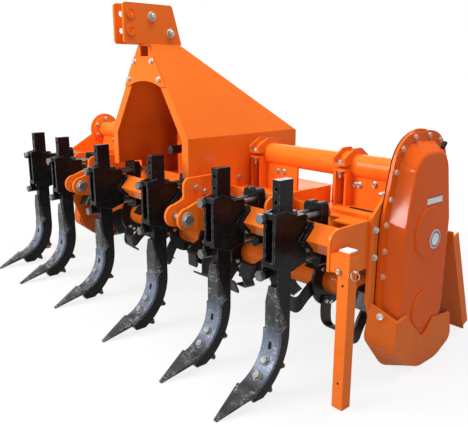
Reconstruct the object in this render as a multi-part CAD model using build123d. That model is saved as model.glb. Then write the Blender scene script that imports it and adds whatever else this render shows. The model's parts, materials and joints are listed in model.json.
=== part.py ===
from build123d import *
from math import asin, cos, degrees, radians, sin, sqrt, tan
import os

# Rotary tiller with a ripper bar, in millimetres.
# X runs across the machine (the gear case is on +X), Y from the tractor to the rear, Z up.
# While modelling, Y = 0 is the plane of the rotor axis, X = 0 the middle of the hitch and Z = 0 the floor.

# Main frame
ROTOR_HEIGHT = 218.0
TUBE_HEIGHT = 684.0
WORK_HALF = 1050.0
SIDE_THICK = 10.0
SIDE_FRONT = -243.0
SIDE_REAR = 205.0
SIDE_SHOULDER = 572.0
SIDE_NECK_Z = 660.0
SIDE_TOP_R_GEAR = 155.0
SIDE_TOP_R_FREE = 92.0
SIDE_NECK_SHARE = 0.96
SIDE_KNEE_UP = 70.0
SIDE_FOOT_Z = 26.0
SIDE_FOOT_HALF = 170.0
SIDE_FOOT_RISE = 60.0
SIDE_FOOT_R = 60.0
SIDE_FOOT_FLAT = (-40.0, 90.0)
SHAFT_PASS_R = 45.0
DECK_TOP = 540.0
DECK_THICK = 6.0
DECK_REAR = 235.0
APRON_REAR = -233.0
APRON_THICK = 6.0
APRON_TOP = 578.0
APRON_BOTTOM = 470.0

# Cross tubes, their collars and uprights
TUBE_R = 44.5
TUBE_WALL = 6.0
TUBE_FLANGE_R = 74.0
TUBE_FLANGE_THICK = 12.0
COLLAR_INNER = 345.0
COLLAR_FROM_END = 260.0
COLLAR_WIDE = 56.0
COLLAR_PLATE = 8.0
COLLAR_RING_R = 52.0
COLLAR_FRONT = 78.0
COLLAR_FOOT_FRONT = 64.0
COLLAR_REAR = 68.0
COLLAR_BROW = 34.0
COLLAR_TOP = 66.0
COLLAR_TOP_HALF = 22.0
COLLAR_SPLIT = 12.0
COLLAR_EAR = 8.0
COLLAR_EAR_FRONT = 76.0
COLLAR_GAP = 0.2
UPRIGHT_INNER = (293.0, 545.0)
UPRIGHT_OUTER_LONG = 324.0
UPRIGHT_Y = -20.0
UPRIGHT_THICK = 10.0

# Square tool bar on its corner, and the arms that hold it
BAR_SIDE = 70.0
BAR_WALL = 8.0
BAR_Y = -367.0
BAR_Z = 509.0
ARM_THICK = 10.0
ARM_TOP = 564.0
ARM_BOTTOM = 405.0
ARM_CORNER_R = 40.0
ARM_LEDGE_WIDE = 160.0
ARM_LEDGE_THICK = 6.0
ARM_LEDGE_STEP = 75.0
BRACE_FROM_SHANK = 180.0
BRACE_THICK = 12.0
BRACE_TOP = 604.0
BRACE_FRONT = -378.0
BRACE_REAR = -34.0
BRACE_CORNER_R = 36.0

# Ripper shanks and shares
SHANK_INNER = 215.0
SHANK_FROM_HITCH = 197.5
SHANK_FROM_END = 150.0
SHANK_WIDE = 30.0
SHANK_DEEP = 60.0
SHANK_TOP = 707.0
SHANK_STANDOFF = 36.5
SHANK_BEND_Z = 208.0
SHANK_BEND_R = 170.0
SHANK_SWEEP = 70.0
SHANK_TOE = 8.0
SHANK_TOE_Z = 8.0
SHANK_HOLE_R = 7.0
SHANK_HOLE_DROP = 28.0
SHANK_HOLE_PITCH = 41.0
SHARE_THICK = 11.0
SHARE_WIDE = 72.0
SHARE_TOP = 370.0
SHARE_SHOULDER = 245.0
SHARE_STEP = 14.0
SHARE_FOLD = 28.0
SHARE_WING = 44.0
SHARE_WING_BACK = 17.0
CHISEL_WIDE = 84.0
CHISEL_EDGE = 15.0
CHISEL_RIDGE = 23.0
CHISEL_TIP_WIDE = 14.0
CHISEL_TIP_THICK = 4.0
CHISEL_TIP_RIDGE = 6.0

# Clamps of the shanks
CLAMP_PLATE = 10.0
CLAMP_LEAD = 27.0
CLAMP_REACH = 20.0
CLAMP_UP = 107.0
CLAMP_BROW = 8.0
CLAMP_PEAK = 18.0
CLAMP_DIP = 81.0
CLAMP_DIP_BACK = 10.0
CLAMP_HORN_CUT = 8.0
CLAMP_HORN_LOW = 78.0
CLAMP_DOWN = 98.0
CLAMP_CHIN = 72.0
CLAMP_STRAP = 17.0
CLAMP_SPACER = 22.0
SADDLE_THICK = 12.0
SADDLE_LEG = 50.0
SADDLE_OUT = 16.0
ROD_R = 9.0
ROD_OUT = 20.0
ROD_RISE = 70.0
ROD_GAP = 0.3
ROD_SPARE = 8.0
BOLT_OUT = 30.0
BOLT_UP = 78.0
BOLT_DOWN = 105.0
LUG_LONG = 30.0
LUG_R = 16.0
JAW_THICK = 34.0
JAW_FRONT = 25.0
JAW_UP = 108.0
JAW_EAR_R = 19.0
NUT_ACROSS = 30.0
NUT_THICK = 14.0

# Three-point hitch
HITCH_X = 412.5
HITCH_GAP = 65.0
EAR_THICK = 12.0
EAR_R = 42.0
EAR_BEHIND = 16.0
EAR_OVER = 14.0
PIN_Y = -514.0
PIN_Z = 498.0
PIN_R = 14.0
PIN_GAP = 0.3
PIN_SPARE = 12.0
PIN_NUT = 42.0
CHEEK_FRONT = -470.0
CHEEK_STEP = 16.0
CHEEK_TOP = 633.0
CHEEK_CORNER_R = 30.0
CHEEK_BOTTOM = 440.0

# Headstock hood
HOOD_HALF = 287.0
HOOD_TOP_HALF = 45.0
HOOD_BEND_Z = 765.0
HOOD_TOP = 1130.0
HOOD_FRONT = -378.0
HOOD_TOP_REAR = -230.0
HOOD_REAR = 246.0
HOOD_REAR_Z = 760.0
HOOD_MOUTH_Z = 606.0
HOOD_SHEET = 6.0
HOOD_FLANGE = 40.0
HOOD_SLOT_HALF = 28.0
GUSSET_TOP = 1083.0
GUSSET_LOW = 962.0
GUSSET_ARCH = 22.0
GUSSET_THICK = 8.0
GUSSET_INSET = 6.0
LINK_GAP = 56.0
LINK_PLATE = 12.0
LINK_FRONT = -493.0
LINK_REAR_LOW = -216.0
LINK_REAR_TOP = -262.0
LINK_TOP = 1285.0
LINK_CORNER_R = 14.0
LINK_HOLE_Y = -460.0
LINK_HOLE_Z = (1246.0, 1181.0)
LINK_HOLE_R = 12.75
LINK_RING_R = 22.0
LINK_RING_HIGH = 5.0
LINK_SPACER_R = 13.0
LINK_SPACERS = ((-363.0, 1237.0), (-273.0, 1176.0))

# Gearbox and power take-off stub
BOX_HALF = 112.0
BOX_FRONT = -140.0
BOX_REAR = 150.0
BOX_TOP = 792.0
NOSE_R = 56.0
NOSE_FRONT = -182.0
STUB_R = 17.5
STUB_FRONT = -262.0
STUB_GAP = 0.3
STUB_SEAT_R = 22.0
STUB_COLLAR_R = 26.0
STUB_COLLAR = 4.0
STUB_DEPTH = 60.0

# Gear case on the +X end
CASE_FLANGE = 15.0
CASE_FLANGE_HALF = 203.0
CASE_FLANGE_TOP_HALF = 138.0
CASE_FLANGE_TOP = 831.0
CASE_SHOULDER = 562.0
CASE_SHOULDER_R = 70.0
CASE_SHOULDER_DROP = 0.6
CASE_TOP_NARROW = 0.75
CASE_TOP_ROUND = 0.86
CASE_LOW_ROUND = 0.8
CASE_LOW_R = 184.0
COVER_DEEP = 47.0
COVER_RIM = 30.0
COVER_DRAFT = 36.0
COVER_ROUND = 16.0
COVER_BOSS_Z = 498.0
COVER_BOSS_R = 88.0
COVER_BOSS_HIGH = 6.0
COVER_BOSS_ROUND = 5.0
COVER_LOW_BOSS_R = 70.0
BEARING_R = 92.0
BEARING_CAP_R = 58.0
BEARING_CAP_LONG = 24.0

# Skids
SKID_OUT = 70.0
SKID_THICK = 6.0
SKID_FLAT = (-20.0, 110.0)
SKID_FRONT = -182.0
SKID_FRONT_TOP = 214.0
SKID_FRONT_LEAN = 12.0
SKID_NOSE_Z = 100.0
SKID_NOSE_R = 55.0
SKID_BELLY_R = 150.0
SKID_REAR = 212.0
SKID_REAR_TOP = 150.0
SKID_REAR_LEAN = 20.0
SKID_HEEL_Z = 46.0
SKID_HEEL_R = 36.0
SKID_SPREAD = 72.0
SKID_SPREAD_UP = 68.0
SKID_SPREAD_LEAN = 18.0
SKID_SPREAD_TOE = 96.0
SKID_SPREAD_REAR = 32.0
SKID_CROWN_Y = 60.0
SKID_CROWN = 246.0
SKID_NOTCH_FRONT = -104.0
SKID_NOTCH_TOP = 218.0
SKID_NOTCH_LOW = 120.0
SKID_NOTCH_FLOOR = (-8.0, 22.0)
SKID_NOTCH_REAR = 70.0
SKID_NOTCH_REAR_Z = 166.0
SKID_NOTCH_R = 14.0
RUNNER_SHARE = 0.35
RUNNER_GAP = 4.0

# Rotor
ROTOR_TUBE_R = 57.0
ROTOR_WALL = 8.0
ROTOR_END_GAP = 10.0
AXLE_R = 25.0
AXLE_GAP = 0.3
AXLE_SHORT = 3.0
GANGS = 9
GANG_FROM_END = 95.0
GANG_FLANGE_R = 112.0
GANG_FLANGE_THICK = 12.0
GANG_TURN = 23.0
BLADE_THICK = 9.0
BLADE_R = 207.0
BLADE_ROOT_R = 72.0
BLADE_WIDE = 60.0
BLADE_SWEEP = 74.0
BLADE_FOOT = 80.0
BLADE_BEND_R = 26.0
BLADES_A_SIDE = 3

# Rear board and its hinge
HINGE_Y = 222.0
HINGE_Z = 468.0
HINGE_ROD_R = 8.0
HINGE_GAP = 0.3
HINGE_EYE_R = 16.0
HINGE_LUG_MIDDLE = 520.0
HINGE_LUG_FROM_END = 40.0
HINGE_LUG_THICK = 12.0
KNUCKLE_LONG = 90.0
BOARD_OVERLAP = 34.0
BOARD_THICK = 6.0
BOARD_CLEAR = 24.0
SKIRT_GAP = 6.0
BOARD_FOOT_Y = 398.0
BOARD_FOOT_Z = 5.0
BOARD_FLANGE = 40.0

# Parking stands
LEG_SIDE = 40.0
LEG_TOP = 512.0
LEG_WALL = 4.0
LEG_FROM_SIDE = 20.0
LEG_Y = -411.0
LEG_GAP = 0.4
SLEEVE_WALL = 3.5
SLEEVE_LOW = 438.0
SLEEVE_TOP = 500.0

# Values that follow from the sizes above
SIDE_OUT = WORK_HALF + SIDE_THICK
APRON_FRONT = APRON_REAR - APRON_THICK
DECK_UNDER = DECK_TOP - DECK_THICK
BAR_POINT = BAR_SIDE / sqrt(2)
SHANK_BACK = BAR_Y - BAR_POINT - SHANK_STANDOFF
SHANK_FRONT = SHANK_BACK - SHANK_DEEP
CLAMP_FRONT = SHANK_FRONT - CLAMP_LEAD
CLAMP_REAR = BAR_Y - BAR_POINT + CLAMP_REACH
BAR_END = WORK_HALF - ARM_THICK
COLLAR_X = (COLLAR_INNER, WORK_HALF - COLLAR_FROM_END)
UPRIGHT_SPANS = (UPRIGHT_INNER, (WORK_HALF - UPRIGHT_OUTER_LONG, WORK_HALF))
SHANK_X = (SHANK_INNER, HITCH_X + SHANK_FROM_HITCH, WORK_HALF - SHANK_FROM_END)
BRACE_X = SHANK_X[-1] - BRACE_FROM_SHANK
ARM_LEDGE_IN = BAR_END - ARM_LEDGE_WIDE
STUB_SHOULDER = NOSE_FRONT - STUB_GAP - STUB_COLLAR
GANG_END = WORK_HALF - GANG_FROM_END
HINGE_LUG_X = (0.0, HINGE_LUG_MIDDLE, WORK_HALF - HINGE_LUG_FROM_END)
KNUCKLE_X = (HINGE_LUG_X[1] / 2, (HINGE_LUG_X[1] + HINGE_LUG_X[2]) / 2)
BOARD_HALF = SIDE_OUT + BOARD_OVERLAP
CASE_FACE = SIDE_OUT + CASE_FLANGE
COVER_FACE = CASE_FACE + COVER_DEEP
LINK_OUT = LINK_GAP / 2 + LINK_PLATE
LEG_X = SIDE_OUT + LEG_FROM_SIDE + LEG_SIDE / 2
SKIRT_BOTTOM = HINGE_Z + HINGE_EYE_R + SKIRT_GAP
ALL_SHANK_X = [-x for x in reversed(SHANK_X)] + list(SHANK_X)


def outline(*corners):
    """Closed flat face through the corners; a third number rounds that corner to the radius."""
    count = len(corners)
    stops = []
    for i, corner in enumerate(corners):
        here = Vector(corner[0], corner[1])
        radius = corner[2] if len(corner) > 2 else 0
        back = (Vector(*corners[i - 1][:2]) - here).normalized()
        ahead = (Vector(*corners[(i + 1) % count][:2]) - here).normalized()
        half = radians(back.get_angle(ahead)) / 2
        reach = radius / tan(half)
        middle = here + (back + ahead).normalized() * (radius / sin(half) - radius)
        stops.append((here + back * reach, middle, here + ahead * reach, radius))
    edges = []
    for i, (start, middle, end, radius) in enumerate(stops):
        if radius:
            edges.append(Edge.make_three_point_arc(start, middle, end))
        following = stops[(i + 1) % count][0]
        if (following - end).length > 1e-6:
            edges.append(Edge.make_line(end, following))
    return Face(Wire(edges))


def plate_x(face, x0, x1):
    """A flat face drawn in (Y, Z), made solid from x0 to x1."""
    return extrude(Plane.YZ.offset(x0) * face, x1 - x0, dir=(1, 0, 0))


def plate_y(face, y0, y1):
    """A flat face drawn in (X, Z), made solid from y0 to y1."""
    return extrude(Plane.XZ.offset(-y0) * face, y1 - y0, dir=(0, 1, 0))


def plate_z(face, z0, z1):
    """A flat face drawn in (X, Y), made solid from z0 to z1."""
    return extrude(Plane.XY.offset(z0) * face, z1 - z0, dir=(0, 0, 1))


def block(x0, x1, y0, y1, z0, z1):
    """A box between two corners."""
    return Pos((x0 + x1) / 2, (y0 + y1) / 2, (z0 + z1) / 2) * Box(x1 - x0, y1 - y0, z1 - z0)


def rod_x(radius, x0, x1, y, z):
    """A round bar along X."""
    return Pos((x0 + x1) / 2, y, z) * Rot(0, 90, 0) * Cylinder(radius, x1 - x0)


def rod_y(radius, x, y0, y1, z):
    """A round bar along Y."""
    return Pos(x, (y0 + y1) / 2, z) * Rot(90, 0, 0) * Cylinder(radius, y1 - y0)


def nut_x(across, x0, x1, y, z):
    """A hexagon along X."""
    return plate_x(Pos(y, z) * RegularPolygon(across / sqrt(3), 6), x0, x1)


def nut_y(across, x, y0, y1, z):
    """A hexagon along Y."""
    return plate_y(Pos(x, z) * RegularPolygon(across / sqrt(3), 6), y0, y1)


def other_side(shape):
    """The same shape mirrored across the middle plane."""
    return mirror(shape, about=Plane.YZ)


def group(*shapes):
    """Separate solids kept together in one node."""
    return Compound([solid for shape in shapes for solid in shape.solids()])


# Main frame

def side_plate(top_r):
    """End wall: round head about the cross tube, flared shoulders, foot cut close to the floor."""
    neck = top_r * SIDE_NECK_SHARE
    knee, cut = ROTOR_HEIGHT + SIDE_KNEE_UP, SIDE_FOOT_Z + SIDE_FOOT_RISE
    body = outline(
        (-neck, SIDE_NECK_Z), (SIDE_FRONT, SIDE_SHOULDER), (SIDE_FRONT, knee),
        (-SIDE_FOOT_HALF, cut, SIDE_FOOT_R), (SIDE_FOOT_FLAT[0], SIDE_FOOT_Z),
        (SIDE_FOOT_FLAT[1], SIDE_FOOT_Z), (SIDE_FOOT_HALF, cut, SIDE_FOOT_R),
        (SIDE_REAR, knee), (SIDE_REAR, SIDE_SHOULDER),
        (neck, SIDE_NECK_Z), (neck, TUBE_HEIGHT), (-neck, TUBE_HEIGHT))
    plate = plate_x(body, WORK_HALF, SIDE_OUT)
    plate += rod_x(top_r, WORK_HALF, SIDE_OUT, 0, TUBE_HEIGHT)
    return plate - rod_x(SHAFT_PASS_R, WORK_HALF, SIDE_OUT, 0, ROTOR_HEIGHT)


def deck():
    """Flat sheet over the rotor."""
    return block(-WORK_HALF, WORK_HALF, APRON_REAR, DECK_REAR, DECK_UNDER, DECK_TOP)


def front_apron():
    """Upright sheet along the deck's front edge."""
    return block(-BAR_END, BAR_END, APRON_FRONT, APRON_REAR, APRON_BOTTOM, APRON_TOP)


def rear_skirt():
    """Strip that hangs from the deck's rear edge over the hinge."""
    return block(-WORK_HALF, WORK_HALF, DECK_REAR - DECK_THICK, DECK_REAR, SKIRT_BOTTOM, DECK_UNDER)


def cross_tube():
    """Tube from the gearbox to the side plate."""
    return rod_x(TUBE_R, BOX_HALF, WORK_HALF, 0, TUBE_HEIGHT) - rod_x(
        TUBE_R - TUBE_WALL, BOX_HALF, WORK_HALF, 0, TUBE_HEIGHT)


def tube_flange():
    """Ring that ties the tube to the side plate."""
    x0 = WORK_HALF - TUBE_FLANGE_THICK
    return rod_x(TUBE_FLANGE_R, x0, WORK_HALF, 0, TUBE_HEIGHT) - rod_x(
        TUBE_R + COLLAR_GAP, x0, WORK_HALF, 0, TUBE_HEIGHT)


def collar_side():
    """Outline of a collar's plate: sloping brow, flat crown and a foot that stands on the deck."""
    return outline(
        (-COLLAR_FRONT, TUBE_HEIGHT), (-COLLAR_FRONT, TUBE_HEIGHT + COLLAR_BROW),
        (-COLLAR_TOP_HALF, TUBE_HEIGHT + COLLAR_TOP), (COLLAR_TOP_HALF, TUBE_HEIGHT + COLLAR_TOP),
        (COLLAR_REAR, TUBE_HEIGHT + COLLAR_BROW), (COLLAR_REAR, DECK_TOP), (-COLLAR_FOOT_FRONT, DECK_TOP),
        (-COLLAR_FOOT_FRONT, TUBE_HEIGHT))


def collar(x):
    """Split collar: two plates on the deck, a ring between them and ears for the pinch bolt."""
    x0, x1 = x - COLLAR_WIDE / 2, x + COLLAR_WIDE / 2
    body = plate_x(collar_side(), x0, x0 + COLLAR_PLATE) + plate_x(collar_side(), x1 - COLLAR_PLATE, x1)
    body += rod_x(COLLAR_RING_R, x0, x1, 0, TUBE_HEIGHT)
    half = COLLAR_SPLIT / 2
    for z in (TUBE_HEIGHT + half, TUBE_HEIGHT - half - COLLAR_EAR):
        body += block(x0, x1, -COLLAR_EAR_FRONT, -TUBE_R, z, z + COLLAR_EAR)
    body -= block(x0, x1, -COLLAR_FRONT, -TUBE_R, TUBE_HEIGHT - half, TUBE_HEIGHT + half)
    return body - rod_x(TUBE_R + COLLAR_GAP, x0, x1, 0, TUBE_HEIGHT)


def uprights():
    """Plates that stand on the deck under the tube, let out round the collars."""
    y0, y1 = UPRIGHT_Y - UPRIGHT_THICK / 2, UPRIGHT_Y + UPRIGHT_THICK / 2
    plates = []
    for x0, x1 in UPRIGHT_SPANS:
        plate = block(x0, x1, y0, y1, DECK_TOP, TUBE_HEIGHT)
        plate -= rod_x(TUBE_R, x0, WORK_HALF, 0, TUBE_HEIGHT)
        plate -= rod_x(TUBE_FLANGE_R, WORK_HALF - TUBE_FLANGE_THICK, WORK_HALF, 0, TUBE_HEIGHT)
        for x in COLLAR_X:
            plate -= plate_x(collar_side(), x - COLLAR_WIDE / 2, x + COLLAR_WIDE / 2)
        plates.append(plate)
    return plates


# Tool bar and its arms

def bar_core():
    """The bar's outer form, on its corner."""
    return Pos(0, BAR_Y, BAR_Z) * Rot(45, 0, 0) * Box(2 * BAR_END, BAR_SIDE, BAR_SIDE)


def tool_bar():
    """Square tube on its corner."""
    inside = BAR_SIDE - 2 * BAR_WALL
    return bar_core() - Pos(0, BAR_Y, BAR_Z) * Rot(45, 0, 0) * Box(2 * BAR_END, inside, inside)


def bar_arm():
    """Folded arm at the bar's end: upright plate and the ledge turned in from its top edge."""
    front = LEG_Y - LEG_SIDE / 2 - SLEEVE_WALL
    upright = plate_x(
        outline((front, ARM_TOP, ARM_CORNER_R), (APRON_FRONT, ARM_TOP), (APRON_FRONT, ARM_BOTTOM),
                (BAR_Y + BAR_POINT, ARM_BOTTOM), (front, SLEEVE_LOW)), BAR_END, WORK_HALF)
    jaw_back = BAR_Y + JAW_FRONT + JAW_THICK
    ledge_mid = jaw_back + NUT_THICK + 2 * ROD_SPARE
    ledge = plate_z(
        outline((ARM_LEDGE_IN, ledge_mid), (BAR_END - ARM_LEDGE_STEP, ledge_mid),
                (BAR_END - ARM_LEDGE_STEP, BAR_Y + BAR_POINT), (BAR_END, BAR_Y + BAR_POINT),
                (BAR_END, APRON_FRONT), (ARM_LEDGE_IN, APRON_FRONT)),
        ARM_TOP - ARM_LEDGE_THICK, ARM_TOP)
    return upright + ledge


def brace():
    """Plate from the deck to the bar, cut to the bar's corner."""
    plate = plate_x(
        outline((BRACE_FRONT, BRACE_TOP, BRACE_CORNER_R), (BRACE_REAR, BRACE_TOP),
                (BRACE_REAR, DECK_TOP), (APRON_FRONT, DECK_TOP), (APRON_FRONT, BAR_Z),
                (BRACE_FRONT, BAR_Z)),
        BRACE_X - BRACE_THICK / 2, BRACE_X + BRACE_THICK / 2)
    return plate - bar_core() - front_apron()


# Ripper shanks

def bend(radius, angle):
    """Point on the shank's bend, at a distance from its centre and an angle from level."""
    centre_y = SHANK_FRONT - SHANK_BEND_R
    return centre_y + radius * cos(radians(angle)), SHANK_BEND_Z - radius * sin(radians(angle))


def ahead_of(point, distance, lift=0.0):
    """Point further along the straight toe, lifted square to it."""
    s, c = sin(radians(SHANK_SWEEP)), cos(radians(SHANK_SWEEP))
    return point[0] - distance * s - lift * c, point[1] - distance * c + lift * s


def yz(point):
    """Flat point as a vector."""
    return Vector(point[0], point[1])


def shank():
    """Square-edged bar, straight above, bent forward below."""
    back_r = SHANK_BEND_R + SHANK_DEEP
    last = degrees(asin((SHANK_BEND_Z - SHANK_TOE_Z) / back_r))
    front_end = bend(SHANK_BEND_R, SHANK_SWEEP)
    toe = ahead_of(front_end, SHANK_TOE)
    heel = bend(back_r, last)
    toe_low = ((toe[0] * 2 + heel[0]) / 3, SHANK_TOE_Z)
    side = Face(Wire([
        Edge.make_line(yz((SHANK_FRONT, SHANK_TOP)), yz((SHANK_FRONT, SHANK_BEND_Z))),
        Edge.make_three_point_arc(yz((SHANK_FRONT, SHANK_BEND_Z)),
                                  yz(bend(SHANK_BEND_R, SHANK_SWEEP / 2)), yz(front_end)),
        Edge.make_line(yz(front_end), yz(toe)),
        Edge.make_line(yz(toe), yz(toe_low)),
        Edge.make_line(yz(toe_low), yz(heel)),
        Edge.make_three_point_arc(yz(heel), yz(bend(back_r, last / 2)), yz((SHANK_BACK, SHANK_BEND_Z))),
        Edge.make_line(yz((SHANK_BACK, SHANK_BEND_Z)), yz((SHANK_BACK, SHANK_TOP))),
        Edge.make_line(yz((SHANK_BACK, SHANK_TOP)), yz((SHANK_FRONT, SHANK_TOP)))]))
    bar = plate_x(side, -SHANK_WIDE / 2, SHANK_WIDE / 2)
    for i in range(2):
        z = SHANK_TOP - SHANK_HOLE_DROP - i * SHANK_HOLE_PITCH
        bar -= rod_y(SHANK_HOLE_R, 0, SHANK_FRONT, SHANK_BACK, z)
    return bar


def share_band():
    """Side view of the wearing plate that follows the shank's front down to the end of its bend."""
    outer = SHANK_BEND_R - SHARE_THICK
    face_y = SHANK_FRONT - SHARE_THICK
    low = SHANK_BEND_Z + SHARE_STEP
    inner_end, outer_end = bend(SHANK_BEND_R, SHANK_SWEEP), bend(outer, SHANK_SWEEP)
    return Face(Wire([
        Edge.make_line(yz((face_y, low)), yz((face_y, SHANK_BEND_Z))),
        Edge.make_three_point_arc(yz((face_y, SHANK_BEND_Z)), yz(bend(outer, SHANK_SWEEP / 2)),
                                  yz(outer_end)),
        Edge.make_line(yz(outer_end), yz(inner_end)),
        Edge.make_three_point_arc(yz(inner_end), yz(bend(SHANK_BEND_R, SHANK_SWEEP / 2)),
                                  yz((SHANK_FRONT, SHANK_BEND_Z))),
        Edge.make_line(yz((SHANK_FRONT, SHANK_BEND_Z)), yz((SHANK_FRONT, low))),
        Edge.make_line(yz((SHANK_FRONT, low)), yz((face_y, low)))]))


def share_head():
    """Upper part of the wearing plate: narrow above, with wings folded back beside the shank."""
    face_y = SHANK_FRONT - SHARE_THICK
    low = SHANK_BEND_Z + SHARE_STEP
    section = outline(
        (-SHARE_WING, face_y + SHARE_WING_BACK), (-SHARE_FOLD, face_y), (SHARE_FOLD, face_y),
        (SHARE_WING, face_y + SHARE_WING_BACK), (SHARE_WING, SHANK_FRONT + SHARE_WING_BACK),
        (SHARE_FOLD, SHANK_FRONT), (-SHARE_FOLD, SHANK_FRONT), (-SHARE_WING, SHANK_FRONT + SHARE_WING_BACK))
    half, top_half = SHARE_WIDE / 2, SHANK_WIDE / 2
    front = outline(
        (-top_half, SHARE_TOP), (top_half, SHARE_TOP), (SHARE_WING, SHARE_SHOULDER),
        (half, SHARE_SHOULDER - SHARE_STEP), (half, low), (-half, low), (-half, SHARE_SHOULDER - SHARE_STEP),
        (-SHARE_WING, SHARE_SHOULDER))
    return plate_z(section, low, SHARE_TOP) & plate_y(front, face_y, SHANK_FRONT + SHARE_WING_BACK)


def chisel_section(point, half, edge, ridge):
    """Five-sided section of the chisel, square to the toe, with its ridge in the middle."""
    lifts = ((-half, 0), (half, 0), (half, edge), (0, ridge), (-half, edge))
    corners = [(x, *ahead_of(point, 0, lift)) for x, lift in lifts]
    return Face(Wire.make_polygon([Vector(*corner) for corner in corners]))


def share():
    """Wearing plate on the shank's front with its chisel point on the floor."""
    start = bend(SHANK_BEND_R, SHANK_SWEEP)
    tip = ahead_of(start, start[1] / cos(radians(SHANK_SWEEP)))
    chisel = loft([chisel_section(start, CHISEL_WIDE / 2, CHISEL_EDGE, CHISEL_RIDGE),
                   chisel_section(tip, CHISEL_TIP_WIDE / 2, CHISEL_TIP_THICK, CHISEL_TIP_RIDGE)], ruled=True)
    return share_head() + plate_x(share_band(), -SHARE_WIDE / 2, SHARE_WIDE / 2) + chisel


def rod_places():
    """Where the four clamp studs of a shank run, as (x, z)."""
    return [(sx * ROD_OUT, BAR_Z + sz * ROD_RISE) for sx in (-1, 1) for sz in (-1, 1)]


def saddle():
    """Angle that seats on the bar's front corner and stands out beside the cheeks."""
    half = SHANK_WIDE / 2 + CLAMP_PLATE + SADDLE_OUT
    side = BAR_SIDE + 2 * SADDLE_THICK
    corner = BAR_Y - BAR_POINT
    angle = Pos(0, BAR_Y, BAR_Z) * Rot(45, 0, 0) * Box(2 * half, side, side)
    reach = corner + SADDLE_LEG / sqrt(2)
    return angle & block(-half, half, corner - side, reach, BAR_Z - side, BAR_Z + side)


def clamp():
    """Two cheeks astride the shank with a saddle on the bar, ties before and behind, and bolt lugs."""
    half = SHANK_WIDE / 2
    top, bottom = BAR_Z + CLAMP_DIP, BAR_Z - CLAMP_HORN_LOW
    brow, chin = BAR_Z + CLAMP_UP - CLAMP_BROW, BAR_Z - CLAMP_CHIN
    cheek = outline(
        (CLAMP_FRONT, brow), (SHANK_FRONT + CLAMP_PEAK, BAR_Z + CLAMP_UP), (SHANK_BACK + CLAMP_DIP_BACK, top),
        (CLAMP_REAR - CLAMP_HORN_CUT, top), (CLAMP_REAR, top - CLAMP_HORN_CUT), (CLAMP_REAR, bottom),
        (SHANK_BACK - CLAMP_DIP_BACK, BAR_Z - CLAMP_DOWN), (CLAMP_FRONT, chin))
    body = plate_x(cheek, half, half + CLAMP_PLATE)
    body += plate_x(cheek, -half - CLAMP_PLATE, -half)
    for z in (brow - CLAMP_STRAP, chin):
        body += block(-half, half, CLAMP_FRONT, SHANK_FRONT, z, z + CLAMP_STRAP)
    for z in (top - CLAMP_SPACER, bottom):
        body += block(-half, half, SHANK_BACK, CLAMP_REAR - CLAMP_HORN_CUT, z, z + CLAMP_SPACER)
    back = CLAMP_FRONT + LUG_LONG
    for z, web in ((BAR_Z + BOLT_UP, BAR_Z + BOLT_UP - LUG_R), (BAR_Z - BOLT_DOWN, chin + LUG_R)):
        body += rod_y(LUG_R, -BOLT_OUT, CLAMP_FRONT, back, z)
        body += block(-BOLT_OUT, -half - CLAMP_PLATE, CLAMP_FRONT, back, min(z, web), max(z, web))
        body -= rod_y(ROD_R + ROD_GAP, -BOLT_OUT, CLAMP_FRONT, back, z)
    body -= block(-half, half, SHANK_FRONT, SHANK_BACK, BAR_Z - BOLT_DOWN - LUG_R, BAR_Z + CLAMP_UP)
    return body + saddle() - bar_core()


def jaw():
    """Block behind the bar with rounded ears, grooved on the bar's rear corner and drilled for the studs."""
    y0 = BAR_Y + JAW_FRONT
    y1 = y0 + JAW_THICK
    half, rise = ROD_OUT + JAW_EAR_R, JAW_UP - JAW_EAR_R
    body = block(-half, half, y0, y1, BAR_Z - rise, BAR_Z + rise)
    for x, side in ((-ROD_OUT, -1), (-ROD_OUT, 1), (ROD_OUT, -1), (ROD_OUT, 1)):
        body += rod_y(JAW_EAR_R, x, y0, y1, BAR_Z + side * rise)
    body -= bar_core()
    for x, z in rod_places():
        body -= rod_y(ROD_R + ROD_GAP, x, y0, y1, z)
    return body


def clamp_rods():
    """Studs from the cheeks through the jaw with their nuts, and the two bolts in the front lugs."""
    back = BAR_Y + JAW_FRONT + JAW_THICK
    rods = []
    for x, z in rod_places():
        stud = rod_y(ROD_R, x, CLAMP_REAR, back + NUT_THICK + ROD_SPARE, z)
        rods.append(stud + nut_y(NUT_ACROSS, x, back, back + NUT_THICK, z))
    end = CLAMP_FRONT + LUG_LONG
    for z in (BAR_Z + BOLT_UP, BAR_Z - BOLT_DOWN):
        bolt = rod_y(ROD_R, -BOLT_OUT, CLAMP_FRONT, end, z)
        rods.append(bolt + nut_y(NUT_ACROSS, -BOLT_OUT, CLAMP_FRONT - NUT_THICK, CLAMP_FRONT, z))
    return rods


# Three-point hitch

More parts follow.
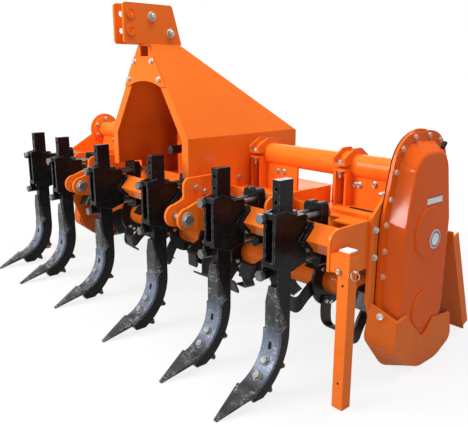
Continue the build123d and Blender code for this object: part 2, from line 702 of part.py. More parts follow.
def hitch_plate(tall):
    """Ear plate with its pin hole, cut out for the bar; the tall one runs back to the apron."""
    rear = BAR_Y + BAR_POINT + EAR_BEHIND
    over = BAR_Z + BAR_POINT + EAR_OVER
    if tall:
        body = outline((PIN_Y, PIN_Z + EAR_R), (CHEEK_FRONT, PIN_Z + EAR_R + CHEEK_STEP),
                       (CHEEK_FRONT, CHEEK_TOP, CHEEK_CORNER_R), (rear, CHEEK_TOP),
                       (APRON_FRONT, APRON_TOP), (APRON_FRONT, APRON_BOTTOM), (rear, CHEEK_BOTTOM),
                       (BAR_Y - BAR_POINT, CHEEK_BOTTOM), (PIN_Y, PIN_Z - EAR_R))
    else:
        body = outline((PIN_Y, PIN_Z + EAR_R), (BAR_Y - BAR_POINT, over),
                       (rear, over), (rear, CHEEK_BOTTOM),
                       (BAR_Y - BAR_POINT, CHEEK_BOTTOM), (PIN_Y, PIN_Z - EAR_R))
    x0 = HITCH_X - HITCH_GAP / 2 - EAR_THICK if tall else HITCH_X + HITCH_GAP / 2
    plate = plate_x(body, x0, x0 + EAR_THICK) + rod_x(EAR_R, x0, x0 + EAR_THICK, PIN_Y, PIN_Z)
    return plate - rod_x(PIN_R + PIN_GAP, x0, x0 + EAR_THICK, PIN_Y, PIN_Z) - bar_core()


def hitch_pin():
    """Lower link pin with its head outside the outer ear and a nut at the inner one."""
    inner = HITCH_X - HITCH_GAP / 2 - EAR_THICK
    outer = HITCH_X + HITCH_GAP / 2 + EAR_THICK
    pin = rod_x(PIN_R, inner, outer, PIN_Y, PIN_Z)
    pin += nut_x(PIN_NUT, outer, outer + PIN_SPARE, PIN_Y, PIN_Z)
    return pin + nut_x(PIN_NUT, inner - PIN_SPARE, inner, PIN_Y, PIN_Z)


# Headstock hood

def hood_section(inset):
    """The hood's outline from the front, set in by a sheet thickness."""
    lean = HOOD_BEND_Z - HOOD_TOP, HOOD_TOP_HALF - HOOD_HALF
    slant = sqrt(lean[0] ** 2 + lean[1] ** 2)
    shift = inset * (slant + lean[0]) / -lean[1]
    half, top = HOOD_HALF - inset, HOOD_TOP - inset
    bend_z = HOOD_BEND_Z - shift
    top_half = half - (top - bend_z) * lean[1] / lean[0]
    return outline((-half, 0), (-half, bend_z), (-top_half, top), (top_half, top), (half, bend_z), (half, 0))


def hood_profile(inset, open_front):
    """The hood's outline from the side, set in by a sheet thickness."""
    run, fall = HOOD_REAR - HOOD_TOP_REAR, HOOD_TOP - HOOD_REAR_Z
    slant = sqrt(run ** 2 + fall ** 2)
    rear = HOOD_REAR - inset
    top_rear = HOOD_TOP_REAR - inset * (slant - run) / fall
    rear_z = HOOD_TOP - inset - (rear - top_rear) * fall / run
    front = HOOD_FRONT - (HOOD_FLANGE if open_front else 0)
    if open_front:
        return outline((front, 0), (front, HOOD_TOP - inset), (top_rear, HOOD_TOP - inset),
                       (rear, rear_z), (rear, 0))
    return outline((front, HOOD_MOUTH_Z), (front, HOOD_TOP), (HOOD_TOP_REAR, HOOD_TOP),
                   (HOOD_REAR, HOOD_REAR_Z), (HOOD_REAR, DECK_TOP), (APRON_REAR, DECK_TOP),
                   (APRON_REAR, HOOD_MOUTH_Z))


def hood_solids():
    """Outer form of the hood, the form inside its side sheets and the hollow inside its back."""
    reach = HOOD_HALF * 2
    outer = plate_x(hood_profile(0, False), -reach, reach)
    wide = plate_y(hood_section(0), HOOD_FRONT, HOOD_REAR)
    narrow = plate_y(hood_section(HOOD_SHEET), HOOD_FRONT, HOOD_REAR)
    hollow = plate_x(hood_profile(HOOD_SHEET, True), -reach, reach)
    return outer & wide, outer & narrow, hollow


def hood_side():
    """One folded side sheet with half of the top and the flange turned in at the mouth."""
    whole, inside, _ = hood_solids()
    right = block(0, HOOD_HALF, HOOD_FRONT, HOOD_REAR, 0, HOOD_TOP)
    sheet = (whole - inside) & right
    lip = plate_y(hood_section(HOOD_SHEET), HOOD_FRONT, HOOD_FRONT + HOOD_SHEET)
    lip -= plate_y(hood_section(HOOD_FLANGE), HOOD_FRONT, HOOD_FRONT + HOOD_SHEET)
    lip = lip & block(0, HOOD_HALF, HOOD_FRONT, HOOD_REAR, HOOD_MOUTH_Z, HOOD_TOP)
    lip -= block(0, HOOD_SLOT_HALF, HOOD_FRONT, HOOD_REAR, GUSSET_LOW, HOOD_TOP - HOOD_SHEET)
    return sheet + lip - rod_x(TUBE_R + COLLAR_GAP, BOX_HALF, WORK_HALF, 0, TUBE_HEIGHT)


def hood_back():
    """Sloping roof and rear wall between the side sheets."""
    _, inside, hollow = hood_solids()
    return inside - hollow


def gusset():
    """Arched plate across the upper part of the mouth."""
    slope = (HOOD_HALF - HOOD_TOP_HALF) / (HOOD_TOP - HOOD_BEND_Z)
    low_half = HOOD_HALF - (GUSSET_LOW - HOOD_BEND_Z) * slope - GUSSET_INSET
    top_half = HOOD_HALF - (GUSSET_TOP - HOOD_BEND_Z) * slope - GUSSET_INSET
    foot = low_half - HOOD_FLANGE + GUSSET_INSET
    face = Face(Wire([
        Edge.make_line(yz((-low_half, GUSSET_LOW)), yz((-top_half, GUSSET_TOP))),
        Edge.make_line(yz((-top_half, GUSSET_TOP)), yz((top_half, GUSSET_TOP))),
        Edge.make_line(yz((top_half, GUSSET_TOP)), yz((low_half, GUSSET_LOW))),
        Edge.make_line(yz((low_half, GUSSET_LOW)), yz((foot, GUSSET_LOW))),
        Edge.make_three_point_arc(yz((foot, GUSSET_LOW)), yz((0, GUSSET_LOW + GUSSET_ARCH)),
                                  yz((-foot, GUSSET_LOW))),
        Edge.make_line(yz((-foot, GUSSET_LOW)), yz((-low_half, GUSSET_LOW)))]))
    return plate_y(face, HOOD_FRONT - GUSSET_THICK, HOOD_FRONT)


def link_plate():
    """Top link plate with two ringed pin holes."""
    body = outline((LINK_FRONT, HOOD_TOP, LINK_CORNER_R), (LINK_FRONT, LINK_TOP, LINK_CORNER_R),
                   (LINK_REAR_TOP, LINK_TOP, LINK_CORNER_R), (LINK_REAR_LOW, HOOD_TOP))
    plate = plate_x(body, LINK_GAP / 2, LINK_OUT)
    for z in LINK_HOLE_Z:
        plate += rod_x(LINK_RING_R, LINK_OUT, LINK_OUT + LINK_RING_HIGH, LINK_HOLE_Y, z)
        plate -= rod_x(LINK_HOLE_R, 0, LINK_OUT + LINK_RING_HIGH, LINK_HOLE_Y, z)
    return plate


def link_spacers():
    """Round distance pieces between the top link plates."""
    return [rod_x(LINK_SPACER_R, -LINK_GAP / 2, LINK_GAP / 2, y, z) for y, z in LINK_SPACERS]


# Gearbox

def gearbox():
    """Heavy block on the deck with a round nose, bored for the stub shaft."""
    body = block(-BOX_HALF, BOX_HALF, BOX_FRONT, BOX_REAR, DECK_TOP, BOX_TOP)
    body += rod_y(NOSE_R, 0, NOSE_FRONT, BOX_FRONT, TUBE_HEIGHT)
    return body - rod_y(STUB_SEAT_R + STUB_GAP, 0, NOSE_FRONT, NOSE_FRONT + STUB_DEPTH, TUBE_HEIGHT)


def pto_stub():
    """Stub shaft that the tractor's drive shaft slides on up to its collar, on a thicker seat."""
    stub = rod_y(STUB_R, 0, STUB_FRONT, STUB_SHOULDER, TUBE_HEIGHT)
    stub += rod_y(STUB_COLLAR_R, 0, STUB_SHOULDER, STUB_SHOULDER + STUB_COLLAR, TUBE_HEIGHT)
    seat_end = NOSE_FRONT + STUB_DEPTH - AXLE_SHORT
    return stub + rod_y(STUB_SEAT_R, 0, STUB_SHOULDER + STUB_COLLAR, seat_end, TUBE_HEIGHT)


# Gear case and bearing

def case_outline(inset):
    """Pear outline of the gear case, set in from its flange."""
    half = CASE_FLANGE_HALF - inset
    top_half = CASE_FLANGE_TOP_HALF - inset * CASE_TOP_NARROW
    low, top = ROTOR_HEIGHT - CASE_LOW_R + inset, CASE_FLANGE_TOP - inset
    shoulder = CASE_SHOULDER - inset * CASE_SHOULDER_DROP
    low_r, top_r = half * CASE_LOW_ROUND, top_half * CASE_TOP_ROUND
    return outline(
        (-half, low, low_r), (-half, shoulder, CASE_SHOULDER_R), (-top_half, top, top_r),
        (top_half, top, top_r), (half, shoulder, CASE_SHOULDER_R), (half, low, low_r))


def case_flange():
    """Flange that the cover bolts to, bored for the rotor's axle."""
    return plate_x(case_outline(0), SIDE_OUT, CASE_FACE) - rod_x(
        AXLE_R + AXLE_GAP, SIDE_OUT, CASE_FACE, 0, ROTOR_HEIGHT)


def case_cover():
    """Drafted cover with a rounded outer edge and raised round bosses."""
    base = Plane.YZ.offset(CASE_FACE) * case_outline(COVER_RIM)
    face = Plane.YZ.offset(COVER_FACE) * case_outline(COVER_RIM + COVER_DRAFT)
    body = loft([base, face], ruled=True)
    body = fillet(body.faces().sort_by(Axis.X)[-1].edges(), COVER_ROUND)
    for radius, z in ((COVER_BOSS_R, COVER_BOSS_Z), (COVER_LOW_BOSS_R, ROTOR_HEIGHT)):
        boss = rod_x(radius, CASE_FACE, COVER_FACE + COVER_BOSS_HIGH, 0, z)
        body += fillet(boss.faces().sort_by(Axis.X)[-1].edges(), COVER_BOSS_ROUND)
    return body


def bearing_hub():
    """Bearing at the rotor's free end: flange, cap and a blind bore."""
    hub = rod_x(BEARING_R, SIDE_OUT, CASE_FACE, 0, ROTOR_HEIGHT)
    hub += rod_x(BEARING_CAP_R, CASE_FACE, CASE_FACE + BEARING_CAP_LONG, 0, ROTOR_HEIGHT)
    return hub - rod_x(AXLE_R + AXLE_GAP, SIDE_OUT, CASE_FACE, 0, ROTOR_HEIGHT)


# Skids

def skid_curve(share, inset):
    """Lower outline of a skid, front to rear; share runs from 0 at the outer face to 1 at the side plate."""
    front = SKID_FRONT - share * SKID_SPREAD + inset
    rear = SKID_REAR + share * SKID_SPREAD_REAR - inset
    toe = SKID_FLAT[0] - share * SKID_SPREAD_TOE
    return [
        (front + SKID_FRONT_LEAN + share * SKID_SPREAD_LEAN, SKID_FRONT_TOP + share * SKID_SPREAD_UP),
        (front, SKID_NOSE_Z + share * SKID_SPREAD_UP, SKID_NOSE_R - inset), (toe, inset, SKID_BELLY_R),
        (SKID_FLAT[1], inset, SKID_BELLY_R), (rear, SKID_HEEL_Z, SKID_HEEL_R - inset),
        (rear - SKID_REAR_LEAN, SKID_REAR_TOP)]


def skid_guard():
    """Dished guard under the gear case: slanting front, rounded belly, notched outer face."""
    x0, x1 = SIDE_OUT, SIDE_OUT + SKID_OUT
    high = SKID_CROWN + SKID_SPREAD_UP
    back = Plane.YZ.offset(x0) * outline(*skid_curve(1, 0), (SKID_CROWN_Y, high))
    face = Plane.YZ.offset(x1) * outline(*skid_curve(0, 0), (SKID_CROWN_Y, SKID_CROWN))
    whole = loft([back, face], ruled=True)
    back_in = Plane.YZ.offset(x0) * outline(*skid_curve(1, SKID_THICK), (SKID_CROWN_Y, 2 * high))
    face_in = Plane.YZ.offset(x1 - SKID_THICK) * outline(*skid_curve(0, SKID_THICK), (SKID_CROWN_Y, 2 * high))
    shell = whole - loft([back_in, face_in], ruled=True)
    notch = outline(
        (SKID_NOTCH_FRONT, high), (SKID_NOTCH_FRONT, SKID_NOTCH_TOP, SKID_NOTCH_R),
        (SKID_NOTCH_FLOOR[0], SKID_NOTCH_LOW, SKID_NOTCH_R),
        (SKID_NOTCH_FLOOR[1], SKID_NOTCH_LOW, SKID_NOTCH_R),
        (SKID_NOTCH_REAR, SKID_NOTCH_REAR_Z, SKID_NOTCH_R), (SKID_REAR, SKID_REAR_TOP), (SKID_REAR, high))
    return shell - plate_x(notch, x1 - SKID_THICK, x1)


def skid_runner():
    """Runner under the other end: a web on the side plate, let out round the bearing, and a bent sole."""
    x0, x1 = SIDE_OUT, SIDE_OUT + SKID_OUT
    body = plate_x(outline(*skid_curve(RUNNER_SHARE, 0)), x0, x1)
    strip = skid_curve(RUNNER_SHARE, SKID_THICK)
    rise = 2 * SKID_CROWN
    body -= plate_x(outline((strip[0][0], rise), *strip, (strip[-1][0], rise)), x0 + SKID_THICK, x1)
    return body - rod_x(BEARING_R + RUNNER_GAP, x0, x1, 0, ROTOR_HEIGHT)


# Rotor

def rotor_tube():
    """Rotor tube with its two axle ends."""
    end = WORK_HALF - ROTOR_END_GAP
    tube = rod_x(ROTOR_TUBE_R, -end, end, 0, ROTOR_HEIGHT) - rod_x(
        ROTOR_TUBE_R - ROTOR_WALL, ROTOR_WALL - end, end - ROTOR_WALL, 0, ROTOR_HEIGHT)
    tip = CASE_FACE - AXLE_SHORT
    return tube + rod_x(AXLE_R, -tip, -end, 0, ROTOR_HEIGHT) + rod_x(AXLE_R, end, tip, 0, ROTOR_HEIGHT)


def blade():
    """L blade on the flange's +X face: a swept plate whose end is bent outward round a wide bend."""
    half = BLADE_WIDE / 2
    reach = sqrt(BLADE_R ** 2 - BLADE_SWEEP ** 2)
    knee = BLADE_ROOT_R + BLADE_WIDE
    side = Face(Wire([
        Edge.make_line(yz((-half, BLADE_ROOT_R)), yz((half, BLADE_ROOT_R))),
        Edge.make_line(yz((half, BLADE_ROOT_R)), yz((half, knee - half))),
        Edge.make_three_point_arc(yz((half, knee - half)), yz((half / 2, knee + half / 2)),
                                  yz((-half / 2, reach))),
        Edge.make_line(yz((-half / 2, reach)), yz((-BLADE_SWEEP, reach))),
        Edge.make_three_point_arc(yz((-BLADE_SWEEP, reach)), yz((-half - BLADE_THICK, knee)),
                                  yz((-half, BLADE_ROOT_R + half))),
        Edge.make_line(yz((-half, BLADE_ROOT_R + half)), yz((-half, BLADE_ROOT_R)))]))
    x0 = GANG_FLANGE_THICK / 2
    x1 = x0 + BLADE_THICK
    low = reach - BLADE_THICK
    profile = outline((x0, 0), (x0, reach, BLADE_BEND_R), (x0 + BLADE_FOOT, reach), (x0 + BLADE_FOOT, low),
                      (x1, low, BLADE_BEND_R - BLADE_THICK), (x1, 0))
    return plate_x(side, x0, x0 + BLADE_FOOT) & plate_y(profile, -BLADE_R, BLADE_R)


def gang():
    """Flange with blades on both faces, the two sets half a step apart."""
    half = GANG_FLANGE_THICK / 2
    one = rod_x(GANG_FLANGE_R, -half, half, 0, 0) - rod_x(ROTOR_TUBE_R + COLLAR_GAP, -half, half, 0, 0)
    step = 360 / BLADES_A_SIDE
    right = blade()
    left = other_side(right)
    for i in range(BLADES_A_SIDE):
        one += Rot(i * step, 0, 0) * right
        one += Rot((i + 0.5) * step, 0, 0) * left
    return one


def rotor_gangs():
    """All flanges with their blades, each turned a little further than the last."""
    one = gang()
    pitch = 2 * GANG_END / (GANGS - 1)
    return [Pos(i * pitch - GANG_END, 0, ROTOR_HEIGHT) * Rot(i * GANG_TURN, 0, 0) * one for i in range(GANGS)]


# Rear board

def hinge_rod():
    """Rod that the rear board swings on."""
    end = HINGE_LUG_X[-1] + HINGE_LUG_THICK
    return rod_x(HINGE_ROD_R, -end, end, HINGE_Y, HINGE_Z)


def hinge_lugs():
    """Lugs under the deck that hold the rod."""
    lugs = []
    skirt = DECK_REAR - DECK_THICK
    for x in sorted({sign * x for x in HINGE_LUG_X for sign in (-1, 1)}):
        x0, x1 = x - HINGE_LUG_THICK / 2, x + HINGE_LUG_THICK / 2
        lug = rod_x(HINGE_EYE_R, x0, x1, HINGE_Y, HINGE_Z)
        lug += block(x0, x1, HINGE_Y - HINGE_EYE_R, skirt, HINGE_Z, DECK_UNDER)
        lugs.append(lug - rod_x(HINGE_ROD_R + HINGE_GAP, x0, x1, HINGE_Y, HINGE_Z))
    return lugs


def rear_board():
    """Flat board with ends turned back, hung on the rod by knuckles."""
    run, drop = BOARD_FOOT_Y - HINGE_Y, HINGE_Z - BOARD_FOOT_Z
    length = sqrt(run ** 2 + drop ** 2)
    lean = degrees(asin(run / length))
    half = BOARD_THICK / 2
    low = length - half * run / length
    board = block(-BOARD_HALF, BOARD_HALF, -half, half, -low, -BOARD_CLEAR)
    for side in (-1, 1):
        x0, x1 = sorted((side * BOARD_HALF, side * (BOARD_HALF - BOARD_THICK)))
        foot = BOARD_FLANGE * run / length - low
        board += block(x0, x1, -half, BOARD_FLANGE - half, foot, -2 * BOARD_CLEAR)
    for x in sorted({sign * x for x in KNUCKLE_X for sign in (-1, 1)}):
        x0, x1 = x - KNUCKLE_LONG / 2, x + KNUCKLE_LONG / 2
        board += rod_x(HINGE_EYE_R, x0, x1, 0, 0)
        board += block(x0, x1, -half, half, -BOARD_CLEAR, 0)
        board -= rod_x(HINGE_ROD_R + HINGE_GAP, x0, x1, 0, 0)
    return Pos(0, HINGE_Y, HINGE_Z) * Rot(lean, 0, 0) * board


# Parking stands

def stand_leg():
    """Square tube leg with a closed foot and top."""
    half = LEG_SIDE / 2
    leg = block(LEG_X - half, LEG_X + half, LEG_Y - half, LEG_Y + half, 0, LEG_TOP)
    core = half - LEG_WALL
    return leg - block(LEG_X - core, LEG_X + core, LEG_Y - core, LEG_Y + core, LEG_WALL, LEG_TOP - LEG_WALL)


def stand_sleeve():
    """Square sleeve that the leg slides in, on a block from the arm."""
    inner = LEG_SIDE / 2 + LEG_GAP
    outer = inner + SLEEVE_WALL
    sleeve = block(LEG_X - outer, LEG_X + outer, LEG_Y - outer, LEG_Y + outer, SLEEVE_LOW, SLEEVE_TOP)
    sleeve += block(WORK_HALF, LEG_X - inner - SLEEVE_WALL / 2, LEG_Y - inner, LEG_Y + inner,
                    SLEEVE_LOW + SLEEVE_WALL, SLEEVE_TOP - SLEEVE_WALL)
    return sleeve - block(LEG_X - inner, LEG_X + inner, LEG_Y - inner, LEG_Y + inner, SLEEVE_LOW, SLEEVE_TOP)


def build():
    """Every node of the machine, by name."""
    tube = cross_tube()
    link = link_plate()
    hood = hood_side()
    arm = bar_arm()
    sleeve = stand_sleeve()
    leg = stand_leg()
    cheek, ear, pin = hitch_plate(True), hitch_plate(False), hitch_pin()
    nodes = {
        "side_plate_right": side_plate(SIDE_TOP_R_GEAR),
        "side_plate_left": other_side(side_plate(SIDE_TOP_R_FREE)),
        "deck": deck(),
        "front_apron": front_apron(),
        "rear_skirt": rear_skirt(),
        "cross_tubes": group(tube, other_side(tube)),
        "tube_flanges": group(tube_flange(), other_side(tube_flange())),
        "tube_collars": group(*[collar(sign * x) for x in COLLAR_X for sign in (-1, 1)]),
        "tube_uprights": group(*[p for plate in uprights() for p in (plate, other_side(plate))]),
        "tool_bar": tool_bar(),
        "bar_arm_right": arm,
        "bar_arm_left": other_side(arm),
        "bar_braces": group(brace(), other_side(brace())),
        "hitch_cheeks": group(cheek, other_side(cheek)),
        "hitch_ears": group(ear, other_side(ear)),
        "hitch_pins": group(pin, other_side(pin)),
        "hood_side_right": hood,
        "hood_side_left": other_side(hood),
        "hood_back": hood_back(),
        "hood_gusset": gusset(),
        "link_plates": group(link, other_side(link)),
        "link_spacers": group(*link_spacers()),
        "gearbox": gearbox(),
        "pto_stub": pto_stub(),
        "case_flange": case_flange(),
        "case_cover": case_cover(),
        "bearing_hub": other_side(bearing_hub()),
        "skid_guard": skid_guard(),
        "skid_runner": other_side(skid_runner()),
        "rotor_tube": rotor_tube(),
        "rotor_gangs": group(*rotor_gangs()),
        "hinge_rod": hinge_rod(),
        "hinge_lugs": group(*hinge_lugs()),
        "rear_board": rear_board(),
        "stand_leg_right": leg,
        "stand_leg_left": other_side(leg),
        "stand_sleeves": group(sleeve, other_side(sleeve)),
    }
    one_shank, one_share, one_clamp, one_jaw = shank(), share(), clamp(), jaw()
    for i, x in enumerate(ALL_SHANK_X, 1):
        nodes[f"shank_{i}"] = Pos(x, 0, 0) * one_shank
        nodes[f"share_{i}"] = Pos(x, 0, 0) * one_share
    nodes["clamps"] = group(*[Pos(x, 0, 0) * one_clamp for x in ALL_SHANK_X])
    nodes["clamp_jaws"] = group(*[Pos(x, 0, 0) * one_jaw for x in ALL_SHANK_X])
    nodes["clamp_rods"] = group(*[Pos(x, 0, 0) * rod for x in ALL_SHANK_X for rod in clamp_rods()])
    return nodes


def base_shift(nodes):
    """The move that puts the origin under the middle of the whole machine, on the floor."""
    boxes = [shape.bounding_box() for shape in nodes.values()]
    low = [min(getattr(box.min, axis) for box in boxes) for axis in "XYZ"]
    high = [max(getattr(box.max, axis) for box in boxes) for axis in "XYZ"]
    return Pos(-(low[0] + high[0]) / 2, -(low[1] + high[1]) / 2, -low[2])


NODES = build()
SHIFT = base_shift(NODES)
os.makedirs("parts", exist_ok=True)
for name, shape in NODES.items():
    export_step(SHIFT * shape, f"parts/{name}.step")
print(len(NODES), "nodes, shifted by", SHIFT.position)
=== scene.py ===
# %% [markdown]
# A rotary tiller with a ripper bar.
# The imported model brings every plate, tube, blade and tine at its real size, in metres, with +Z up and
# the tractor on the side of -Y. This lesson adds what the plain solids lack: paint, worn edges that also
# carry a painted highlight, bolts, welds, pins and plates. Nothing that was packed is moved.

# %% Load the imported machine
import json
from math import atan2, cos, pi, radians, sin

import bmesh
import bpy
from mathutils import Matrix, Vector


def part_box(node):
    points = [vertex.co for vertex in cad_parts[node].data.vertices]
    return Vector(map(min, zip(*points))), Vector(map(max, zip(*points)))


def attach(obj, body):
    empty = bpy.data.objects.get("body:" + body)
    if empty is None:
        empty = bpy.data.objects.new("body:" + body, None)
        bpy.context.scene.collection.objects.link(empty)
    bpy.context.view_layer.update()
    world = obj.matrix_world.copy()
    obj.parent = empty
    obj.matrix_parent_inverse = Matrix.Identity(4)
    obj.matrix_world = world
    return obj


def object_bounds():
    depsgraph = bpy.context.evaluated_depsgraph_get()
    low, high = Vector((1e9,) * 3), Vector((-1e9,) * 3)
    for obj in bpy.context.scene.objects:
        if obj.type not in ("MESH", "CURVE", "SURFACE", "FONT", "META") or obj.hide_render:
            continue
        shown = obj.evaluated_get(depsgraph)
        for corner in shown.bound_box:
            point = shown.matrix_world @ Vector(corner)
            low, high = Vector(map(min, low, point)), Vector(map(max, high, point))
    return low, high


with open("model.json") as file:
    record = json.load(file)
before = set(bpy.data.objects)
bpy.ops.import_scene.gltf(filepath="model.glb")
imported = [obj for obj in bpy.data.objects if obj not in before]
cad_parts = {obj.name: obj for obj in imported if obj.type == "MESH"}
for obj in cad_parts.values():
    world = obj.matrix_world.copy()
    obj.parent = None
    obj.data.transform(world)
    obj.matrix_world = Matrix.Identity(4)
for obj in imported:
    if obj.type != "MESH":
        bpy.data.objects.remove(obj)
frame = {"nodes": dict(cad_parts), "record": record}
CAD_LOW, CAD_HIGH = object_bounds()
NODES = frame["nodes"]
JOINTS = {joint["name"]: joint for joint in frame["record"]["behaviour"]["joints"]}
ROTOR_Y, ROTOR_Z = JOINTS["rotor_spin"]["pos_m"][1:]
print(len(NODES), "nodes, size", [round(b - a, 3) for a, b in zip(CAD_LOW, CAD_HIGH)])

# %% [markdown]
# The camera.
# A photograph of a machine is matched first by where the lens stands. The place and the aim here were
# worked out from edges whose real lengths are known: the hitch pins, the tool bar and the square leg.
# Both are given from the rotor's axis, so that they stay right if the machine's box grows.

# %% Place the camera
CAMERA_PLACE = Vector((2.047, ROTOR_Y - 1.700, 1.020))
CAMERA_AIM = Vector((0.162, ROTOR_Y - 0.026, 0.384))
CAMERA_LENS, SENSOR_WIDE = 43.15, 36.0


def look_at(thing, target):
    """Turns a camera or a lamp so that it looks at a point."""
    thing.rotation_euler = (target - thing.location).to_track_quat("-Z", "Y").to_euler()


bpy.ops.object.select_all(action="DESELECT")
bpy.ops.object.camera_add(location=CAMERA_PLACE)
camera = bpy.context.object
camera.data.lens = CAMERA_LENS
camera.data.sensor_width = SENSOR_WIDE
look_at(camera, CAMERA_AIM)
bpy.context.scene.camera = camera
print("camera", round((CAMERA_AIM - CAMERA_PLACE).length, 2), "m from its aim")

# %% [markdown]
# Floor and light.
# A studio shot of painted steel needs large soft lamps, because gloss paint shows the lamps themselves.
# The floor is pale and keeps a faint shadow: most of what is seen of it is plain white, and the rest is
# lit like any surface. Light Path tells a ray that sees the floor from light that only bounces off it.
# Away from the machine the floor fades into the white behind it, so no horizon shows.
# A big lamp above and one in front give bright tops and fronts and leave the machine's ends in half shade.
# A narrow upright lamp beside the camera draws the bright streaks that gloss paint has along its bends.

# %% Helpers for node trees
def math_node(tree, operation, first, second=None):
    """A Math node on two sockets or numbers; gives its output socket."""
    node = tree.nodes.new("ShaderNodeMath")
    node.operation = operation
    for socket, value in zip(node.inputs, (first, second)):
        if isinstance(value, (int, float)):
            socket.default_value = value
        elif value is not None:
            tree.links.new(value, socket)
    return node.outputs[0]


def stretch_range(tree, value, low, high, out_low=0.0, out_high=1.0):
    """Spreads a range of a value over another range, clamped at both ends."""
    node = tree.nodes.new("ShaderNodeMapRange")
    for socket, number in zip(node.inputs[1:5], (low, high, out_low, out_high)):
        socket.default_value = number
    tree.links.new(value, node.inputs[0])
    return node.outputs[0]


def mix_shaders(tree, factor, first, second):
    """Blend of two shaders by a mask; gives the shader socket."""
    node = tree.nodes.new("ShaderNodeMixShader")
    for socket, value in zip(node.inputs, (factor, first, second)):
        tree.links.new(value, socket)
    return node.outputs[0]


def seen_directly(tree):
    """One where a camera, mirror or glass ray arrives, zero for light that bounces about."""
    path = tree.nodes.new("ShaderNodeLightPath")
    plain = math_node(tree, "MAXIMUM", path.outputs["Is Camera Ray"], path.outputs["Is Glossy Ray"])
    return math_node(tree, "MAXIMUM", plain, path.outputs["Is Transmission Ray"])


print("helpers for node trees ready")

# %% Lay the floor
FLOOR_SIZE = 60.0
FLOOR_GREY = (0.42, 0.42, 0.42, 1.0)
FLOOR_SHARE, FLOOR_GLOW = 0.72, 1.15
FADE_FROM, FADE_TO = 1.5, 4.5


def floor_material():
    """Matt grey for the light that bounces, pale with a soft shadow for what is seen of it."""
    material = bpy.data.materials.new("studio_floor")
    material.use_nodes = True
    tree = material.node_tree
    tree.nodes.clear()
    matt = tree.nodes.new("ShaderNodeBsdfDiffuse")
    matt.inputs["Color"].default_value = FLOOR_GREY
    glow = tree.nodes.new("ShaderNodeEmission")
    glow.inputs["Strength"].default_value = FLOOR_GLOW
    place = tree.nodes.new("ShaderNodeTexCoord")
    away = tree.nodes.new("ShaderNodeVectorMath")
    away.operation = "LENGTH"
    tree.links.new(place.outputs["Object"], away.inputs[0])
    fade = stretch_range(tree, away.outputs["Value"], FADE_FROM, FADE_TO, FLOOR_SHARE, 1.0)
    share = math_node(tree, "MULTIPLY", seen_directly(tree), fade)
    out = tree.nodes.new("ShaderNodeOutputMaterial")
    tree.links.new(mix_shaders(tree, share, matt.outputs[0], glow.outputs[0]), out.inputs[0])
    return material


bpy.ops.object.select_all(action="DESELECT")
bpy.ops.mesh.primitive_plane_add(size=FLOOR_SIZE, location=(0, 0, CAD_LOW.z))
floor = bpy.context.object
floor.name = "studio_floor"
floor.data.materials.append(floor_material())
print("floor at height", round(CAD_LOW.z, 4))

# %% Hang the lamps
SKY_STRENGTH = 0.30
SKY_TINT = (1.0, 0.985, 0.96, 1.0)
WHITE = (1.0, 1.0, 1.0, 1.0)
LAMPS = {
    "front": ((-1.2, -3.6, 2.6), (2.2, 2.2), 205.0),
    "top": ((0.9, 0.2, 4.6), (2.6, 2.6), 172.0),
    "strip": ((3.35, -1.95, 1.12), (0.09, 1.1), 17.0),
    "rear": ((-2.4, 3.4, 2.4), (2.2, 2.2), 55.0),
}


def white_sky():
    """A pale even sky: soft light on the machine, plain white behind it."""
    world = bpy.data.worlds.new("studio_sky")
    bpy.context.scene.world = world
    world.use_nodes = True
    tree = world.node_tree
    soft = tree.nodes["Background"]
    soft.inputs["Color"].default_value = SKY_TINT
    soft.inputs["Strength"].default_value = SKY_STRENGTH
    plain = tree.nodes.new("ShaderNodeBackground")
    plain.inputs["Color"].default_value = WHITE
    sky = mix_shaders(tree, seen_directly(tree), soft.outputs[0], plain.outputs[0])
    tree.links.new(sky, tree.nodes["World Output"].inputs[0])


def hang_lamp(name, place, size, power):
    """A soft lamp, so wide and so tall, that looks at the middle of the machine."""
    bpy.ops.object.light_add(type="AREA", location=place)
    lamp = bpy.context.object
    lamp.name = "lamp_" + name
    lamp.data.shape = "RECTANGLE"
    lamp.data.size, lamp.data.size_y = size
    lamp.data.energy = power
    look_at(lamp, (CAD_LOW + CAD_HIGH) / 2)


white_sky()
for lamp_name, (lamp_place, lamp_size, lamp_power) in LAMPS.items():
    hang_lamp(lamp_name, lamp_place, lamp_size, lamp_power)
bpy.context.scene.view_settings.view_transform = "Standard"
print(len(LAMPS), "lamps")

# %% [markdown]
# Effects that several finishes share.
# Paint, castings and bare steel all have the same few things happen to them: tone that drifts from place
# to place, edges that round off and rub, lightened partly as a painted highlight, grit that settles low
# down, and a faint ripple in the film.
# Each is a node group with named sockets, so one change to the group reaches every finish that uses it.

# %% Helpers for node groups
def new_group(name, inputs, outputs):
    """An empty shader node group with float inputs (name, value) and outputs (name, kind)."""
    group = bpy.data.node_groups.new(name, "ShaderNodeTree")
    for label, value in inputs:
        socket = group.interface.new_socket(label, in_out="INPUT", socket_type="NodeSocketFloat")
        socket.default_value = value
    for label, kind in outputs:
        group.interface.new_socket(label, in_out="OUTPUT", socket_type="NodeSocket" + kind)
    return group, group.nodes.new("NodeGroupInput"), group.nodes.new("NodeGroupOutput")


def noise_node(tree, scale, detail, stretch=(1.0, 1.0, 1.0)):
    """Noise on the piece's own coordinates; scale is a number or a socket, in turns a metre."""
    coordinates = tree.nodes.new("ShaderNodeTexCoord")
    mapping = tree.nodes.new("ShaderNodeMapping")
    mapping.inputs["Scale"].default_value = stretch
    noise = tree.nodes.new("ShaderNodeTexNoise")
    noise.inputs["Detail"].default_value = detail
    tree.links.new(coordinates.outputs["Object"], mapping.inputs["Vector"])
    tree.links.new(mapping.outputs["Vector"], noise.inputs["Vector"])
    if isinstance(scale, (int, float)):
        noise.inputs["Scale"].default_value = scale
    else:
        tree.links.new(scale, noise.inputs["Scale"])
    return noise.outputs["Fac"]


